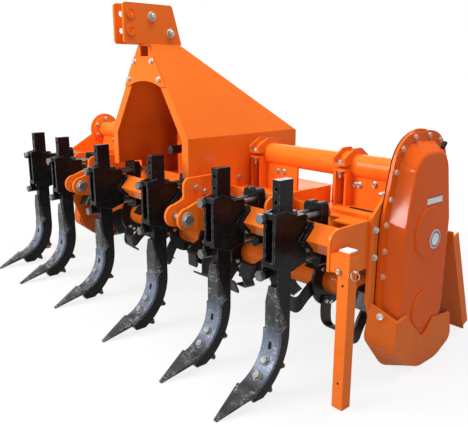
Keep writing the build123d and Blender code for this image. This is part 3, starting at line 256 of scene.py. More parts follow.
def patches(tree, scale, detail, low, high, stretch=(1.0, 1.0, 1.0)):
    """A mask of noise that runs from zero to one where the noise runs from low to high."""
    return stretch_range(tree, noise_node(tree, scale, detail, stretch), low, high)


def height_node(tree):
    """Height of a point above the floor, from the piece's own coordinates."""
    coordinates = tree.nodes.new("ShaderNodeTexCoord")
    split = tree.nodes.new("ShaderNodeSeparateXYZ")
    tree.links.new(coordinates.outputs["Object"], split.inputs[0])
    return split.outputs["Z"]


print("helpers for node groups ready")

# %% Build the shared effects
def make_edge_wear_and_highlight():
    """Edge mask and rounded normal: the Bevel node looks at the faces on both sides of an edge. The mask
    marks worn edges and painted highlights.
    """
    group, start, end = new_group(
        "edge_wear_and_highlight", [("Radius", 0.0015), ("Breakup", 60.0)], [("Edge", "Float"), ("Normal", "Vector")])
    round_off = group.nodes.new("ShaderNodeBevel")
    round_off.samples = 4
    group.links.new(start.outputs["Radius"], round_off.inputs["Radius"])
    flat = group.nodes.new("ShaderNodeNewGeometry")
    compare = group.nodes.new("ShaderNodeVectorMath")
    compare.operation = "DOT_PRODUCT"
    group.links.new(round_off.outputs[0], compare.inputs[0])
    group.links.new(flat.outputs["Normal"], compare.inputs[1])
    turned = math_node(group, "SUBTRACT", 1.0, compare.outputs["Value"])
    spread = stretch_range(group, turned, low=0.02, high=0.22)
    patchy = patches(group, start.outputs["Breakup"], detail=5.0, low=0.42, high=0.62)
    group.links.new(math_node(group, "MULTIPLY", spread, patchy), end.inputs["Edge"])
    group.links.new(round_off.outputs[0], end.inputs["Normal"])
    return group


def make_tone_drift(finer_by=9.0):
    """Slow drift of tone over a sheet, and a finer cloud inside it."""
    group, start, end = new_group("tone_drift", [("Scale", 3.0)], [("Drift", "Float"), ("Cloud", "Float")])
    finer = math_node(group, "MULTIPLY", start.outputs["Scale"], finer_by)
    drift = patches(group, start.outputs["Scale"], detail=2.0, low=0.3, high=0.7)
    cloud = patches(group, finer, detail=6.0, low=0.35, high=0.7)
    group.links.new(drift, end.inputs["Drift"])
    group.links.new(cloud, end.inputs["Cloud"])
    return group


def make_low_grit():
    """Grit that settles near the ground and thins out upward."""
    group, start, end = new_group("low_grit", [("Height", 0.3)], [("Grit", "Float")])
    rise = math_node(group, "DIVIDE", height_node(group), start.outputs["Height"])
    low_down = stretch_range(group, rise, low=0.0, high=1.0, out_low=1.0, out_high=0.0)
    speckle = patches(group, scale=55.0, detail=7.0, low=0.45, high=0.72)
    group.links.new(math_node(group, "MULTIPLY", low_down, speckle), end.inputs["Grit"])
    return group


def make_scratches():
    """Fine scratches in two directions, broken up so that they come and go."""
    group, start, end = new_group("scratches", [("Amount", 0.5)], [("Scratch", "Float")])
    along = patches(group, scale=50.0, detail=5.0, low=0.57, high=0.61, stretch=(9.0, 1.0, 6.0))
    across = patches(group, scale=40.0, detail=5.0, low=0.60, high=0.64, stretch=(1.0, 7.0, 5.0))
    both = math_node(group, "MAXIMUM", along, across)
    gaps = patches(group, scale=18.0, detail=2.0, low=0.42, high=0.62)
    broken = math_node(group, "MULTIPLY", both, gaps)
    group.links.new(math_node(group, "MULTIPLY", broken, start.outputs["Amount"]), end.inputs["Scratch"])
    return group


def make_height_band(ragged_by=0.012):
    """One between two heights and zero outside them, with soft ragged borders."""
    group, start, end = new_group(
        "height_band", [("Low", 0.08), ("High", 0.22), ("Soft", 0.03)], [("Band", "Float")])
    uneven = noise_node(group, scale=22.0, detail=4.0)
    ragged = stretch_range(group, uneven, low=0.3, high=0.7, out_low=-ragged_by, out_high=ragged_by)
    height = math_node(group, "ADD", height_node(group), ragged)
    fades = []
    for upper, lower in ((height, start.outputs["Low"]), (start.outputs["High"], height)):
        way_in = math_node(group, "SUBTRACT", upper, lower)
        soft_steps = math_node(group, "DIVIDE", way_in, start.outputs["Soft"])
        fades.append(stretch_range(group, soft_steps, low=0.0, high=1.0))
    group.links.new(math_node(group, "MINIMUM", *fades), end.inputs["Band"])
    return group


def make_film_ripple(slower_by=0.12, slow_share=3.0):
    """Height of a sprayed film: a fine ripple on a slower one."""
    group, start, end = new_group("film_ripple", [("Scale", 260.0)], [("Height", "Float")])
    fine = noise_node(group, start.outputs["Scale"], detail=2.0)
    slow = noise_node(group, math_node(group, "MULTIPLY", start.outputs["Scale"], slower_by), detail=2.0)
    swell = math_node(group, "MULTIPLY", slow, slow_share)
    group.links.new(math_node(group, "ADD", fine, swell), end.inputs["Height"])
    return group


EDGE_WEAR_AND_HIGHLIGHT = make_edge_wear_and_highlight()
TONE_DRIFT = make_tone_drift()
LOW_GRIT = make_low_grit()
SCRATCHES = make_scratches()
HEIGHT_BAND = make_height_band()
FILM_RIPPLE = make_film_ripple()
print(len(bpy.data.node_groups), "shared effects")

# %% [markdown]
# Finishes.
# The sheet metal is gloss orange enamel, so a clear coat lies over a colour that drifts a little. Black
# enamel covers the clamps and shanks; it hides dirt but shows rubbed edges, which are also lightened as a
# painted highlight. The bolts are zinc plated. Each finish is its own Principled shader, and the groups
# above only hand it colours, masks and heights.

# %% Build a finish
SOIL = (0.16, 0.115, 0.075)
GRIT_DULLS = 0.4
COAT_ROUGH, FILM_STRENGTH = 0.07, 0.5


def use_group(tree, group, **values):
    """Places a shared effect in a material with its own values."""
    node = tree.nodes.new("ShaderNodeGroup")
    node.node_tree = group
    for label, value in values.items():
        node.inputs[label].default_value = value
    return node


def mix_colour(tree, factor, first, second):
    """Blend of two colours (sockets or RGB) by a mask; gives the colour socket."""
    node = tree.nodes.new("ShaderNodeMix")
    node.data_type = "RGBA"
    tree.links.new(factor, node.inputs[0])
    for socket, value in ((node.inputs[6], first), (node.inputs[7], second)):
        if isinstance(value, tuple):
            socket.default_value = (*value, 1.0)
        else:
            tree.links.new(value, socket)
    return node.outputs[2]


def finish(name, colour, deep, rubbed_and_highlight, rough, metallic=0.0, coat=0.0, shine=0.3, rub_and_highlight=0.5, dust=0.3,
           scratch=0.15, ripple=260.0, depth=0.00012, edge=0.0015, drift=3.0, gloss_swing=0.1, band=None):
    """A coat or bare metal: drifting tone, edges that are worn and carry a painted highlight, scratches,
    grit low down and a rippled film.

    A band (low end, high end, softness, colour) is a height at which a painted reflection, a bluish sheen,
    lightens the piece.
    """
    material = bpy.data.materials.new(name)
    material.use_nodes = True
    tree = material.node_tree
    shader = tree.nodes["Principled BSDF"]
    tone = use_group(tree, TONE_DRIFT, Scale=drift)
    edges = use_group(tree, EDGE_WEAR_AND_HIGHLIGHT, Radius=edge)
    low = use_group(tree, LOW_GRIT)
    film = use_group(tree, FILM_RIPPLE, Scale=ripple)
    marks = use_group(tree, SCRATCHES, Amount=scratch)
    # Edges take the rubbed colour partly as wear and partly as a painted highlight.
    rub_and_highlight_mask = math_node(tree, "MULTIPLY", edges.outputs["Edge"], rub_and_highlight)
    rub_and_highlight_mask = math_node(tree, "MAXIMUM", rub_and_highlight_mask, marks.outputs["Scratch"])
    grit_mask = math_node(tree, "MULTIPLY", low.outputs["Grit"], dust)
    body = mix_colour(tree, tone.outputs["Drift"], colour, deep)
    # The band is a painted reflection laid over the base colour.
    if band:
        low_end, high_end, soft, reflection_colour = band
        painted_reflection_band = use_group(tree, HEIGHT_BAND, Low=low_end, High=high_end, Soft=soft)
        body = mix_colour(tree, painted_reflection_band.outputs["Band"], body, reflection_colour)
    body = mix_colour(tree, rub_and_highlight_mask, body, rubbed_and_highlight)
    body = mix_colour(tree, grit_mask, body, SOIL)
    tree.links.new(body, shader.inputs["Base Color"])
    swing = math_node(tree, "MULTIPLY", tone.outputs["Cloud"], gloss_swing)
    dull = math_node(tree, "MULTIPLY", grit_mask, GRIT_DULLS)
    rough_here = math_node(tree, "ADD", math_node(tree, "ADD", swing, dull), rough)
    tree.links.new(rough_here, shader.inputs["Roughness"])
    shader.inputs["Metallic"].default_value = metallic
    shader.inputs["Specular IOR Level"].default_value = shine
    shader.inputs["Coat Weight"].default_value = coat
    shader.inputs["Coat Roughness"].default_value = COAT_ROUGH
    bump = tree.nodes.new("ShaderNodeBump")
    bump.inputs["Strength"].default_value = FILM_STRENGTH
    bump.inputs["Distance"].default_value = depth
    tree.links.new(film.outputs["Height"], bump.inputs["Height"])
    tree.links.new(edges.outputs["Normal"], bump.inputs["Normal"])
    tree.links.new(bump.outputs["Normal"], shader.inputs["Normal"])
    return material


print("finish ready, soil colour", SOIL)

# %% Mix the finishes
PLATED = dict(dust=0.2, ripple=700.0, depth=0.00006, edge=0.001)
PRINTED = dict(rub_and_highlight=0.4, ripple=500.0, depth=0.00004, edge=0.0006, drift=12.0)
# Each rubbed colour lightens edges partly as wear and partly as a painted highlight.
FINISHES = {
    "orange_paint": finish(
        "orange_enamel", (0.84, 0.170, 0.016), (0.78, 0.148, 0.013), (0.88, 0.27, 0.07),
        rough=0.30, coat=0.22, shine=0.0),
    # The casting is the same paint, made redder partly as painted shade, to look as its shaded faces do.
    "gear_iron": finish(
        "orange_casting", (0.82, 0.118, 0.006), (0.75, 0.102, 0.005), (0.86, 0.25, 0.07),
        rough=0.30, coat=0.22, shine=0.0, ripple=140.0, depth=0.0002, edge=0.004),
    # Black enamel's pale rubbed colour and wide edge make a painted highlight along its edges, besides wear.
    "black_paint": finish(
        "black_enamel", (0.004, 0.004, 0.0042), (0.007, 0.007, 0.0075), (0.30, 0.30, 0.31),
        rough=0.22, shine=0.14, rub_and_highlight=1.0, dust=0.1, scratch=0.05, edge=0.0032),
    # The band is a painted reflection: a bluish sheen across the middle of the bend, laid into the base
    # colour.
    "share_steel": finish(
        "share_enamel", (0.014, 0.014, 0.015), (0.036, 0.036, 0.037), (0.42, 0.43, 0.45),
        rough=0.32, metallic=0.2, shine=0.25, rub_and_highlight=0.9, dust=0.08, scratch=0.8, drift=14.0, edge=0.0025,
        band=(0.060, 0.250, 0.065, (0.12, 0.15, 0.215))),
    "zinc": finish(
        "zinc_plate", (0.50, 0.47, 0.43), (0.38, 0.36, 0.32), (0.70, 0.69, 0.66),
        rough=0.3, metallic=0.85, dust=0.2, ripple=900.0, depth=0.00005, edge=0.0008, drift=20.0),
    "worn_zinc": finish(
        "dull_zinc", (0.25, 0.25, 0.235), (0.19, 0.19, 0.175), (0.48, 0.48, 0.45),
        rough=0.46, metallic=0.5, drift=24.0, **PLATED),
    "rod_steel": finish(
        "dull_rod_steel", (0.13, 0.13, 0.125), (0.20, 0.20, 0.19), (0.45, 0.45, 0.43),
        rough=0.34, metallic=0.8, drift=20.0, **PLATED),
    "painted_bolt": finish(
        "sprayed_bolt", (0.60, 0.33, 0.23), (0.48, 0.25, 0.16), (0.74, 0.66, 0.58),
        rough=0.34, metallic=0.2, rub_and_highlight=0.8, ripple=600.0, depth=0.00006, edge=0.001, drift=30.0),
    "blade_steel": finish(
        "blade_enamel", (0.006, 0.006, 0.006), (0.012, 0.0115, 0.011), (0.10, 0.095, 0.09),
        rough=0.3, shine=0.2, rub_and_highlight=0.6, dust=0.2, scratch=0.25, drift=9.0),
    "stub_steel": finish(
        "oiled_steel", (0.05, 0.048, 0.046), (0.09, 0.086, 0.08), (0.3, 0.3, 0.3),
        rough=0.32, metallic=0.8, dust=0.1, drift=18.0),
    "dark_bolt": finish(
        "blacked_bolt", (0.020, 0.020, 0.020), (0.035, 0.034, 0.033), (0.20, 0.20, 0.19),
        rough=0.34, metallic=0.6, rub_and_highlight=0.8, drift=20.0),
    "plate_white": finish(
        "printed_plate", (0.80, 0.80, 0.78), (0.74, 0.74, 0.72), (0.55, 0.55, 0.53),
        rough=0.32, coat=0.2, **PRINTED),
    "plate_blue": finish(
        "badge_ring", (0.03, 0.10, 0.34), (0.025, 0.08, 0.29), (0.2, 0.25, 0.4),
        rough=0.3, coat=0.3, **PRINTED),
    # Near-black painted shade for holes, slots and the gasket's seam, where the solids have no real hollow.
    "painted_shade": finish(
        "hole_shadow", (0.010, 0.008, 0.006), (0.016, 0.012, 0.009), (0.03, 0.02, 0.015),
        rough=0.7, shine=0.1, rub_and_highlight=0.2, scratch=0.0),
}
print(len(FINISHES), "finishes")

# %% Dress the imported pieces
SLOT_OF = {row["node"]: row["material_slot"] for row in frame["record"]["subparts"]}
OWN_FINISH = {"clamp_rods": "rod_steel"}
for node_name, node_object in NODES.items():
    for material_slot in node_object.material_slots:
        material_slot.material = FINISHES[OWN_FINISH.get(node_name, SLOT_OF[node_name])]
print(len(SLOT_OF), "packed pieces dressed")

# %% [markdown]
# How the small pieces are made.
# Bolts, washers, pins and plates hold the machine together, and there are many of each. Every kind is
# modelled once by hand: a primitive, then edit mode operators on faces that are picked by their place or
# their normal. The model is then copied to its places, each copy with a mesh of its own, and the copies
# are joined. A place is a point and the direction in which the fastener stands up from its plate.

# %% Helpers for modelling by hand
MM = 0.001
EXACTLY, ROUGHLY, BARELY = 0.99, 0.9, 0.1
RIGHTWARD, FORWARD, UP = Vector((1, 0, 0)), Vector((0, -1, 0)), Vector((0, 0, 1))
SMOOTH_ANGLE = radians(35)
MODELS = []


def spot(x, y, z):
    """A point given in millimetres from the middle, the rotor's axis and the floor."""
    return Vector((x * MM, ROTOR_Y + y * MM, z * MM))


def edit():
    """Enters edit mode on the active piece."""
    bpy.ops.object.mode_set(mode="EDIT")


def done():
    """Goes back to object mode."""
    bpy.ops.object.mode_set(mode="OBJECT")


def clear_selection():
    """Leaves edit mode and deselects everything, so that an operator acts on one piece alone."""
    if bpy.context.object and bpy.context.object.mode != "OBJECT":
        done()
    bpy.ops.object.select_all(action="DESELECT")


def take(piece):
    """Selects one piece alone and makes it active."""
    clear_selection()
    piece.select_set(True)
    bpy.context.view_layer.objects.active = piece


def begin(add, **sizes):
    """Adds a primitive with nothing else selected and puts its place into its mesh."""
    clear_selection()
    add(**sizes)
    bpy.ops.object.transform_apply(location=True, rotation=True, scale=True)
    return bpy.context.object


def facing(way, least=ROUGHLY, beyond=None):
    """A test for faces that look along a way and, if asked, lie further along it than a distance."""
    def test(middle, normal):
        return normal.dot(way) > least and (beyond is None or middle.dot(way) > beyond)
    return test


def pick_faces(piece, test):
    """In edit mode, selects the faces whose middle and normal pass the test."""
    bpy.ops.mesh.select_mode(type="FACE")
    bpy.ops.mesh.select_all(action="DESELECT")
    mesh = bmesh.from_edit_mesh(piece.data)
    for face in mesh.faces:
        if test(face.calc_center_median(), face.normal):
            face.select_set(True)
    bmesh.update_edit_mesh(piece.data)


def round_top(piece, way, edge, segments=1):
    """Enters edit mode, rounds the edge of the face that looks along a way and leaves that face selected."""
    edit()
    pick_faces(piece, facing(way))
    bpy.ops.mesh.bevel(offset=edge, segments=segments, affect="EDGES")
    pick_faces(piece, facing(way, EXACTLY))


print("helpers for modelling ready")

# %% Helpers for copying and dressing
BOLT_TURN = 0.7


def join_pieces(pieces):
    """Joins pieces into one, with its place in its mesh."""
    clear_selection()
    for piece in pieces:
        piece.select_set(True)
    bpy.context.view_layer.objects.active = pieces[0]
    bpy.ops.object.join()
    bpy.ops.object.transform_apply(location=True, rotation=True, scale=True)
    return bpy.context.object


def join_copies(model, matrices):
    """Copies a model to each matrix, each copy with its own mesh, and joins the copies."""
    copies = []
    for matrix in matrices:
        copy = model.copy()
        copy.data = model.data.copy()
        bpy.context.collection.objects.link(copy)
        copy.matrix_world = matrix
        copies.append(copy)
    return join_pieces(copies)


def dress(piece, name, body="frame", slot="zinc", finish_name=None):
    """Names a finished piece, gives it its finish and hangs it on a body."""
    take(piece)
    bpy.ops.object.shade_smooth_by_angle(angle=SMOOTH_ANGLE)
    piece.name = name
    if not piece.data.materials:
        piece.data.materials.append(FINISHES[finish_name or slot])
    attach(piece, body)
    print(name, len(piece.data.polygons), "faces")
    return piece


def put_copies(model, places, name, body="frame", slot="zinc", finish_name=None):
    """Stands copies of a model at each (point, direction), no two heads turned alike, as one piece."""
    matrices = []
    for number, (point, direction) in enumerate(places):
        stand = Vector(direction).to_track_quat("Z", "Y").to_matrix().to_4x4()
        matrices.append(Matrix.Translation(point) @ stand @ Matrix.Rotation(number * BOLT_TURN, 4, "Z"))
    return dress(join_copies(model, matrices), name, body, slot, finish_name)


print("helpers for copying ready")

# %% Model a hex bolt on its washer
SEAT = -0.0004
WASHER_RIM, WASHER_CROWN = 0.3, 0.2
HEX_BEVEL, HEX_RIM, HEX_DISH = 0.09, 0.1, 0.06
NUT_WASHER_WIDE, NUT_WASHER_TALL = 1.35, 0.22
THREAD_FROM, THREAD_TIP, THREAD_BEVEL = 1.2, 0.9, 0.12


def model_bolt(across, tall, washer_wide, washer_tall):
    """A hex head on a washer that stands along +Z; the washer's underside sinks a hair into its plate."""
    bolt = begin(bpy.ops.mesh.primitive_cylinder_add, vertices=18, radius=washer_wide / 2,
                 depth=washer_tall, location=(0, 0, SEAT + washer_tall / 2))
    edit()
    pick_faces(bolt, facing(UP))
    bpy.ops.mesh.inset(thickness=washer_tall * WASHER_RIM, depth=washer_tall * WASHER_CROWN)
    bpy.ops.mesh.select_all(action="DESELECT")
    top = washer_tall + tall
    bpy.ops.mesh.primitive_cylinder_add(vertices=6, radius=across / 3 ** 0.5, depth=tall,
                                        location=(0, 0, SEAT + washer_tall + tall / 2))
    pick_faces(bolt, facing(UP, beyond=top - tall / 4))
    bpy.ops.mesh.bevel(offset=across * HEX_BEVEL, segments=2, affect="EDGES")
    pick_faces(bolt, facing(UP, EXACTLY, beyond=top - tall / 8))
    bpy.ops.mesh.inset(thickness=across * HEX_RIM, depth=-tall * HEX_DISH)
    done()
    MODELS.append(bolt)
    return bolt


def model_nut(across, tall, thread_wide, thread_long):
    """A hex nut with the end of its bolt standing out of it, along +Z."""
    nut = model_bolt(across, tall, across * NUT_WASHER_WIDE, tall * NUT_WASHER_TALL)
    edit()
    bpy.ops.mesh.select_all(action="DESELECT")
    thread_low = tall * THREAD_FROM
    bpy.ops.mesh.primitive_cylinder_add(vertices=12, radius=thread_wide / 2, depth=thread_long,
                                        location=(0, 0, thread_low + thread_long / 2))
    pick_faces(nut, facing(UP, beyond=thread_low + thread_long * THREAD_TIP))
    bpy.ops.mesh.bevel(offset=thread_wide * THREAD_BEVEL, affect="EDGES")
    done()
    return nut


BOLT_10 = model_bolt(across=0.016, tall=0.0064, washer_wide=0.021, washer_tall=0.002)
BOLT_12 = model_bolt(across=0.018, tall=0.0075, washer_wide=0.024, washer_tall=0.0025)
BOLT_16 = model_bolt(across=0.024, tall=0.010, washer_wide=0.032, washer_tall=0.003)
NUT_16 = model_nut(across=0.024, tall=0.013, thread_wide=0.016, thread_long=0.012)
NUT_LINK = model_nut(across=0.028, tall=0.011, thread_wide=0.018, thread_long=0.004)
COLLAR_BOLT = model_bolt(across=0.021, tall=0.010, washer_wide=0.025, washer_tall=0.003)
COLLAR_NUT = model_nut(across=0.0185, tall=0.012, thread_wide=0.014, thread_long=0.012)
print(len(MODELS), "fasteners modelled")

# %% [markdown]
# Bolts round the gear case.
# The gear case's cover is held by bolts that follow its flange. Instead of typing each place, the flange's
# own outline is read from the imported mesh: an edge that only one triangle of the flat face uses is on the
# outline. The bolts are then set at equal steps, a little inside it.

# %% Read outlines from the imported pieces
LEVEL_ROOM, CORNER_DIGITS = 1e-4, 5


def outlines(node, axis, level, side):
    """Closed outlines of a node's flat faces at a level; side is +1 or -1, the way that the faces look."""
    mesh = NODES[node].data
    edges = {}
    for face in mesh.polygons:
        corners = [tuple(round(c, CORNER_DIGITS) for c in mesh.vertices[i].co) for i in face.vertices]
        level_face = all(abs(corner[axis] - level) < LEVEL_ROOM for corner in corners)
        if level_face and face.normal[axis] * side > ROUGHLY:
            for pair in zip(corners, corners[1:] + corners[:1]):
                if pair[::-1] in edges:
                    del edges[pair[::-1]]
                else:
                    edges[pair] = True
    step = {start: end for start, end in edges}
    loops = []
    while step:
        here = max(step, key=lambda corner: corner[::-1])
        loop = []
        while here in step:
            loop.append(Vector(here))
            here = step.pop(here)
        loops.append(loop)
    return loops


def walk(loop, gap, inset, normal, begin_at=0.0):
    """Points at equal steps along a closed outline, moved inside it by inset."""
    runs = list(zip(loop, loop[1:] + loop[:1]))
    total = sum((end - start).length for start, end in runs)
    count = max(1, round(total / gap))
    points, passed, wanted = [], 0.0, begin_at
    for start, end in runs:
        length = (end - start).length
        while length > 0 and wanted < passed + length - 1e-9 and len(points) < count:
            forward = (end - start) / length
            points.append(start + forward * (wanted - passed) + normal.cross(forward) * inset)
            wanted += total / count
        passed += length
    return points


FLANGE_BACK, FLANGE_FACE = (corner.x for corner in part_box("case_flange"))
FLANGE_GAP, FLANGE_INSET, FLANGE_START = 0.086, 0.015, 0.012
GUARD_TOP, GUARD_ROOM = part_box("skid_guard")[1].z, 0.012
flange_loop = max(outlines("case_flange", 0, FLANGE_FACE, 1), key=len)
flange_points = walk(flange_loop, FLANGE_GAP, FLANGE_INSET, RIGHTWARD, FLANGE_START)
flange_places = [(point, RIGHTWARD) for point in flange_points if point.z > GUARD_TOP + GUARD_ROOM]
put_copies(BOLT_10, flange_places, "case_bolts", slot="gear_iron", finish_name="painted_bolt")

# %% [markdown]
# The gasket of the gear case.
# A paper gasket seals the flange to the side plate and shows as a dark line round the case. Its near-black
# colour is partly the gasket and partly painted shade of the seam. It has the flange's own outline, so it
# starts from a copy of the flange. The loose triangles are merged, all but the first few millimetres is cut
# off with Bisect, and the rim is pushed out by a hair.

# %% Cut the gasket from a copy of the flange
GASKET_THICK, GASKET_PROUD = 0.0035, 0.0007
gasket = bpy.data.objects.new("case_gasket", NODES["case_flange"].data.copy())
bpy.context.collection.objects.link(gasket)
gasket.data.materials.clear()
take(gasket)
edit()
bpy.ops.mesh.select_all(action="SELECT")
bpy.ops.mesh.remove_doubles(threshold=1e-5)
bpy.ops.mesh.bisect(plane_co=(FLANGE_BACK + GASKET_THICK, 0, 0), plane_no=RIGHTWARD,
                    use_fill=True, clear_outer=True)
pick_faces(gasket, lambda middle, normal: abs(normal.x) < BARELY)
bpy.ops.transform.shrink_fatten(value=GASKET_PROUD)
done()
# The gasket takes the near-black hole finish: partly its own colour, partly painted shade of the seam.
dress(gasket, "case_gasket", slot="black_paint", finish_name="painted_shade")

# %% [markdown]
# Bolts on the ends, the tubes and the uprights.
# The side plates, the flanges of the two frame tubes and the uprights are bolted alike on the left and the
# right, so those places are written once and mirrored. The bearing hub is on the left end alone. The skid
# guard's bolt and the nut on the shoulder of the side plate are on the right end alone.

# %% Set the bolts of the frame
HANDS = (-1, 1)
SIDE_INNER, SIDE_FACE = (corner.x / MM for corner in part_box("side_plate_right"))
SIDE_BOLTS = [(-222, 532), (-222, 440)]
SHOULDER_NUT = (-154, 634)
TUBE_Y, TUBE_Z = 0.0, 684.0
TUBE_SEAT, TUBE_RING, TUBE_BOLTS = 1038.0, 62.0, 6
UPRIGHT_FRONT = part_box("tube_uprights")[0].y
UPRIGHT_BOLTS = [(741, 590), (833, 620), (851, 620), (916, 631), (435, 620), (472, 620)]
GUARD_BOLT, GUARD_FACING = (1087.4, -206.4, 237.9), (0.708, -0.691, 0.147)
HUB_SEAT, HUB_RING, HUB_BOLTS = -1075.0, 76.0, 6


def ring(count, radius, start=0.0):
    """Offsets (y, z) of a ring of places, in millimetres."""
    turns = [start + 2 * pi * i / count for i in range(count)]
    return [(radius * cos(turn), radius * sin(turn)) for turn in turns]


def on_sides(face, places):
    """Places (y, z) on the left and right faces that lie so far from the middle, standing outward."""
    return [(spot(hand * face, y, z), (hand, 0, 0)) for hand in HANDS for y, z in places]


def on_fronts(front, places):
    """Places (x, z) on the left and right of a front, standing toward the tractor."""
    return [(Vector((hand * x * MM, front, z * MM)), FORWARD) for hand in HANDS for x, z in places]


end_places = []
for hand in HANDS:
    end_places += [(spot(hand * SIDE_FACE, y, z), (hand, 0, 0)) for y, z in SIDE_BOLTS]
    end_places += [(spot(hand * TUBE_SEAT, TUBE_Y + y, TUBE_Z + z), (-hand, 0, 0))
                   for y, z in ring(TUBE_BOLTS, TUBE_RING, pi / 6)]
end_places.append((spot(*GUARD_BOLT), GUARD_FACING))
end_places += [(spot(HUB_SEAT, y, ROTOR_Z / MM + z), -RIGHTWARD) for y, z in ring(HUB_BOLTS, HUB_RING)]
put_copies(BOLT_12, end_places, "end_bolts")
put_copies(COLLAR_NUT, [(spot(SIDE_INNER, *SHOULDER_NUT), -RIGHTWARD)], "shoulder_nut")
put_copies(BOLT_12, on_fronts(UPRIGHT_FRONT, UPRIGHT_BOLTS), "upright_bolts")

# %% [markdown]
# Bolts of the collars, the hood and the top link.
# Each split collar is drawn together by one bolt through its ears, with the nut below. The arched gusset
# across the hood's mouth has two bolts on each side, and the top link plates are bolted through spacers.
# A row of bolts holds each foot of the hood, and another runs along the apron.

# %% Set the bolts of the collars and the hood
COLLAR_X = (345.0, 790.0)
COLLAR_BOLT_Y, EAR_TOP, EAR_UNDER = -64.5, 698.0, 670.0
GUSSET_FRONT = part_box("hood_gusset")[0].y
GUSSET_BOLTS = [(64, 1063), (113, 991)]
HOOD_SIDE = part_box("hood_side_right")[1].x / MM
HOOD_FOOT_BOLTS = [(-108, 583), (-21, 583), (66, 583), (153, 583)]
APRON_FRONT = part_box("front_apron")[0].y
APRON_BOLTS = [(244, 560), (340, 560), (465, 560)]
LINK_RING = 5.0
LINK_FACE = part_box("link_plates")[1].x / MM - LINK_RING
LINK_BOLTS = [(-363, 1237), (-273, 1176)]


def at_collars(height, way):
    """One place on the ears of each collar, at a height."""
    return [(spot(hand * x, COLLAR_BOLT_Y, height), way) for hand in HANDS for x in COLLAR_X]


put_copies(COLLAR_BOLT, at_collars(EAR_TOP, UP), "collar_bolts")
put_copies(COLLAR_NUT, at_collars(EAR_UNDER, -UP), "collar_nuts")
put_copies(BOLT_12, on_fronts(GUSSET_FRONT, GUSSET_BOLTS), "gusset_bolts")
put_copies(BOLT_12, on_sides(HOOD_SIDE, HOOD_FOOT_BOLTS), "hood_foot_bolts")
put_copies(BOLT_12, on_fronts(APRON_FRONT, APRON_BOLTS), "apron_bolts")
put_copies(NUT_LINK, on_sides(LINK_FACE, LINK_BOLTS), "link_bolts")

# %% [markdown]
# Fasteners of the ripper tines.
# Each share is bolted through its curved shank: heads lie in the hollow of the bend and nuts stand on the
# back. Their places follow the bend, so an angle and a radius give the point, and the direction runs
# along the same radius. Each clamp is topped by a hex screw that bears on the shank.

# %% Set the bolts of the tines
TINES = 6
BEND_Y, BEND_Z = -683.0, 208.0
SHARE_FACE_R, SHANK_BACK_R = 159.0, 230.0
SHARE_BOLT_TURNS = (31, 51)
CLAMP_SCREW_Y, CLAMP_SCREW_Z = -435.0, 590.0
SHANK_X = [sum(corner.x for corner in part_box("shank_%d" % (tine + 1))) / 2 / MM for tine in range(TINES)]


def on_bend(x, radius, turn):
    """A point on the bend of a shank, so many degrees below level, and the way outward there."""
    y, z = cos(radians(turn)), -sin(radians(turn))
    return spot(x, BEND_Y + radius * y, BEND_Z + radius * z), Vector((0, y, z))


head_places, back_places = [], []
for x in SHANK_X:
    for turn in SHARE_BOLT_TURNS:
        point, outward = on_bend(x, SHARE_FACE_R, turn)
        head_places.append((point, -outward))
        back_places.append(on_bend(x, SHANK_BACK_R, turn))
screw_places = [(spot(x, CLAMP_SCREW_Y, CLAMP_SCREW_Z), UP) for x in SHANK_X]
put_copies(BOLT_16, head_places, "share_bolts", finish_name="worn_zinc")
put_copies(NUT_16, back_places, "share_nuts", slot="black_paint", finish_name="dark_bolt")
put_copies(BOLT_16, screw_places, "clamp_screws", slot="black_paint", finish_name="dark_bolt")

# %% [markdown]
# Blade bolts on the rotor.
# Every L blade is held to its flange by two bolts. They turn with the rotor, so they ride on its body. With
# more than a hundred of them, the head is a light model: a bevelled six-sided cylinder and no washer.

# %% Set the blade bolts
GANGS, GANG_STEP, GANG_TURN, BLADES = 9, 238.75, 23.0, 3
BLADE_OFF, BOLT_RADIUS, BOLT_SPREAD = 15.0, 92.0, 14.0
BLADE_BOLT_R, BLADE_BOLT_TALL, BLADE_BOLT_MIDDLE, BLADE_BOLT_BEVEL = 0.0105, 0.009, 0.0042, 0.0014
blade_bolt = begin(bpy.ops.mesh.primitive_cylinder_add, vertices=6, radius=BLADE_BOLT_R,
                   depth=BLADE_BOLT_TALL, location=(0, 0, BLADE_BOLT_MIDDLE))
round_top(blade_bolt, UP, BLADE_BOLT_BEVEL)
done()
MODELS.append(blade_bolt)
blade_places = []
for gang in range(GANGS):
    for hand in HANDS:
        x = (gang - (GANGS - 1) / 2) * GANG_STEP + hand * BLADE_OFF
        for blade in range(BLADES):
            half_step = 0.5 if hand < 0 else 0
            turn = radians(gang * GANG_TURN + (blade + half_step) * 360 / BLADES)
            for across in (-BOLT_SPREAD, BOLT_SPREAD):
                y = -BOLT_RADIUS * sin(turn) + across * cos(turn)
                z = BOLT_RADIUS * cos(turn) + across * sin(turn)
                blade_places.append((spot(x, y, ROTOR_Z / MM + z), (hand, 0, 0)))
put_copies(blade_bolt, blade_places, "blade_bolts", body="rotor")

# %% [markdown]
# Plates and the breather on the gear case.
# The cover carries a small plate, a round badge and the breather that lets warm air out. The plate and
# the badge are left blank. Each is a thin solid with a raised rim: a face is inset and pushed back in.

# %% Make the plate
BOSS_RISE = 6.0
BOSS_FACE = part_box("case_cover")[1].x / MM
COVER_FACE = BOSS_FACE - BOSS_RISE
PLATE_Y, PLATE_Z = 23.0, 603.0
PLATE_LONG, PLATE_TALL, PLATE_THICK, PLATE_SINK = 100.0, 27.0, 1.2, 0.2
PLATE_EDGE, PLATE_RIM, PLATE_STEP, PLATE_DEEP = 0.0004, 0.0022, 0.0004, 0.0003
FIELD_HALF = 0.0105


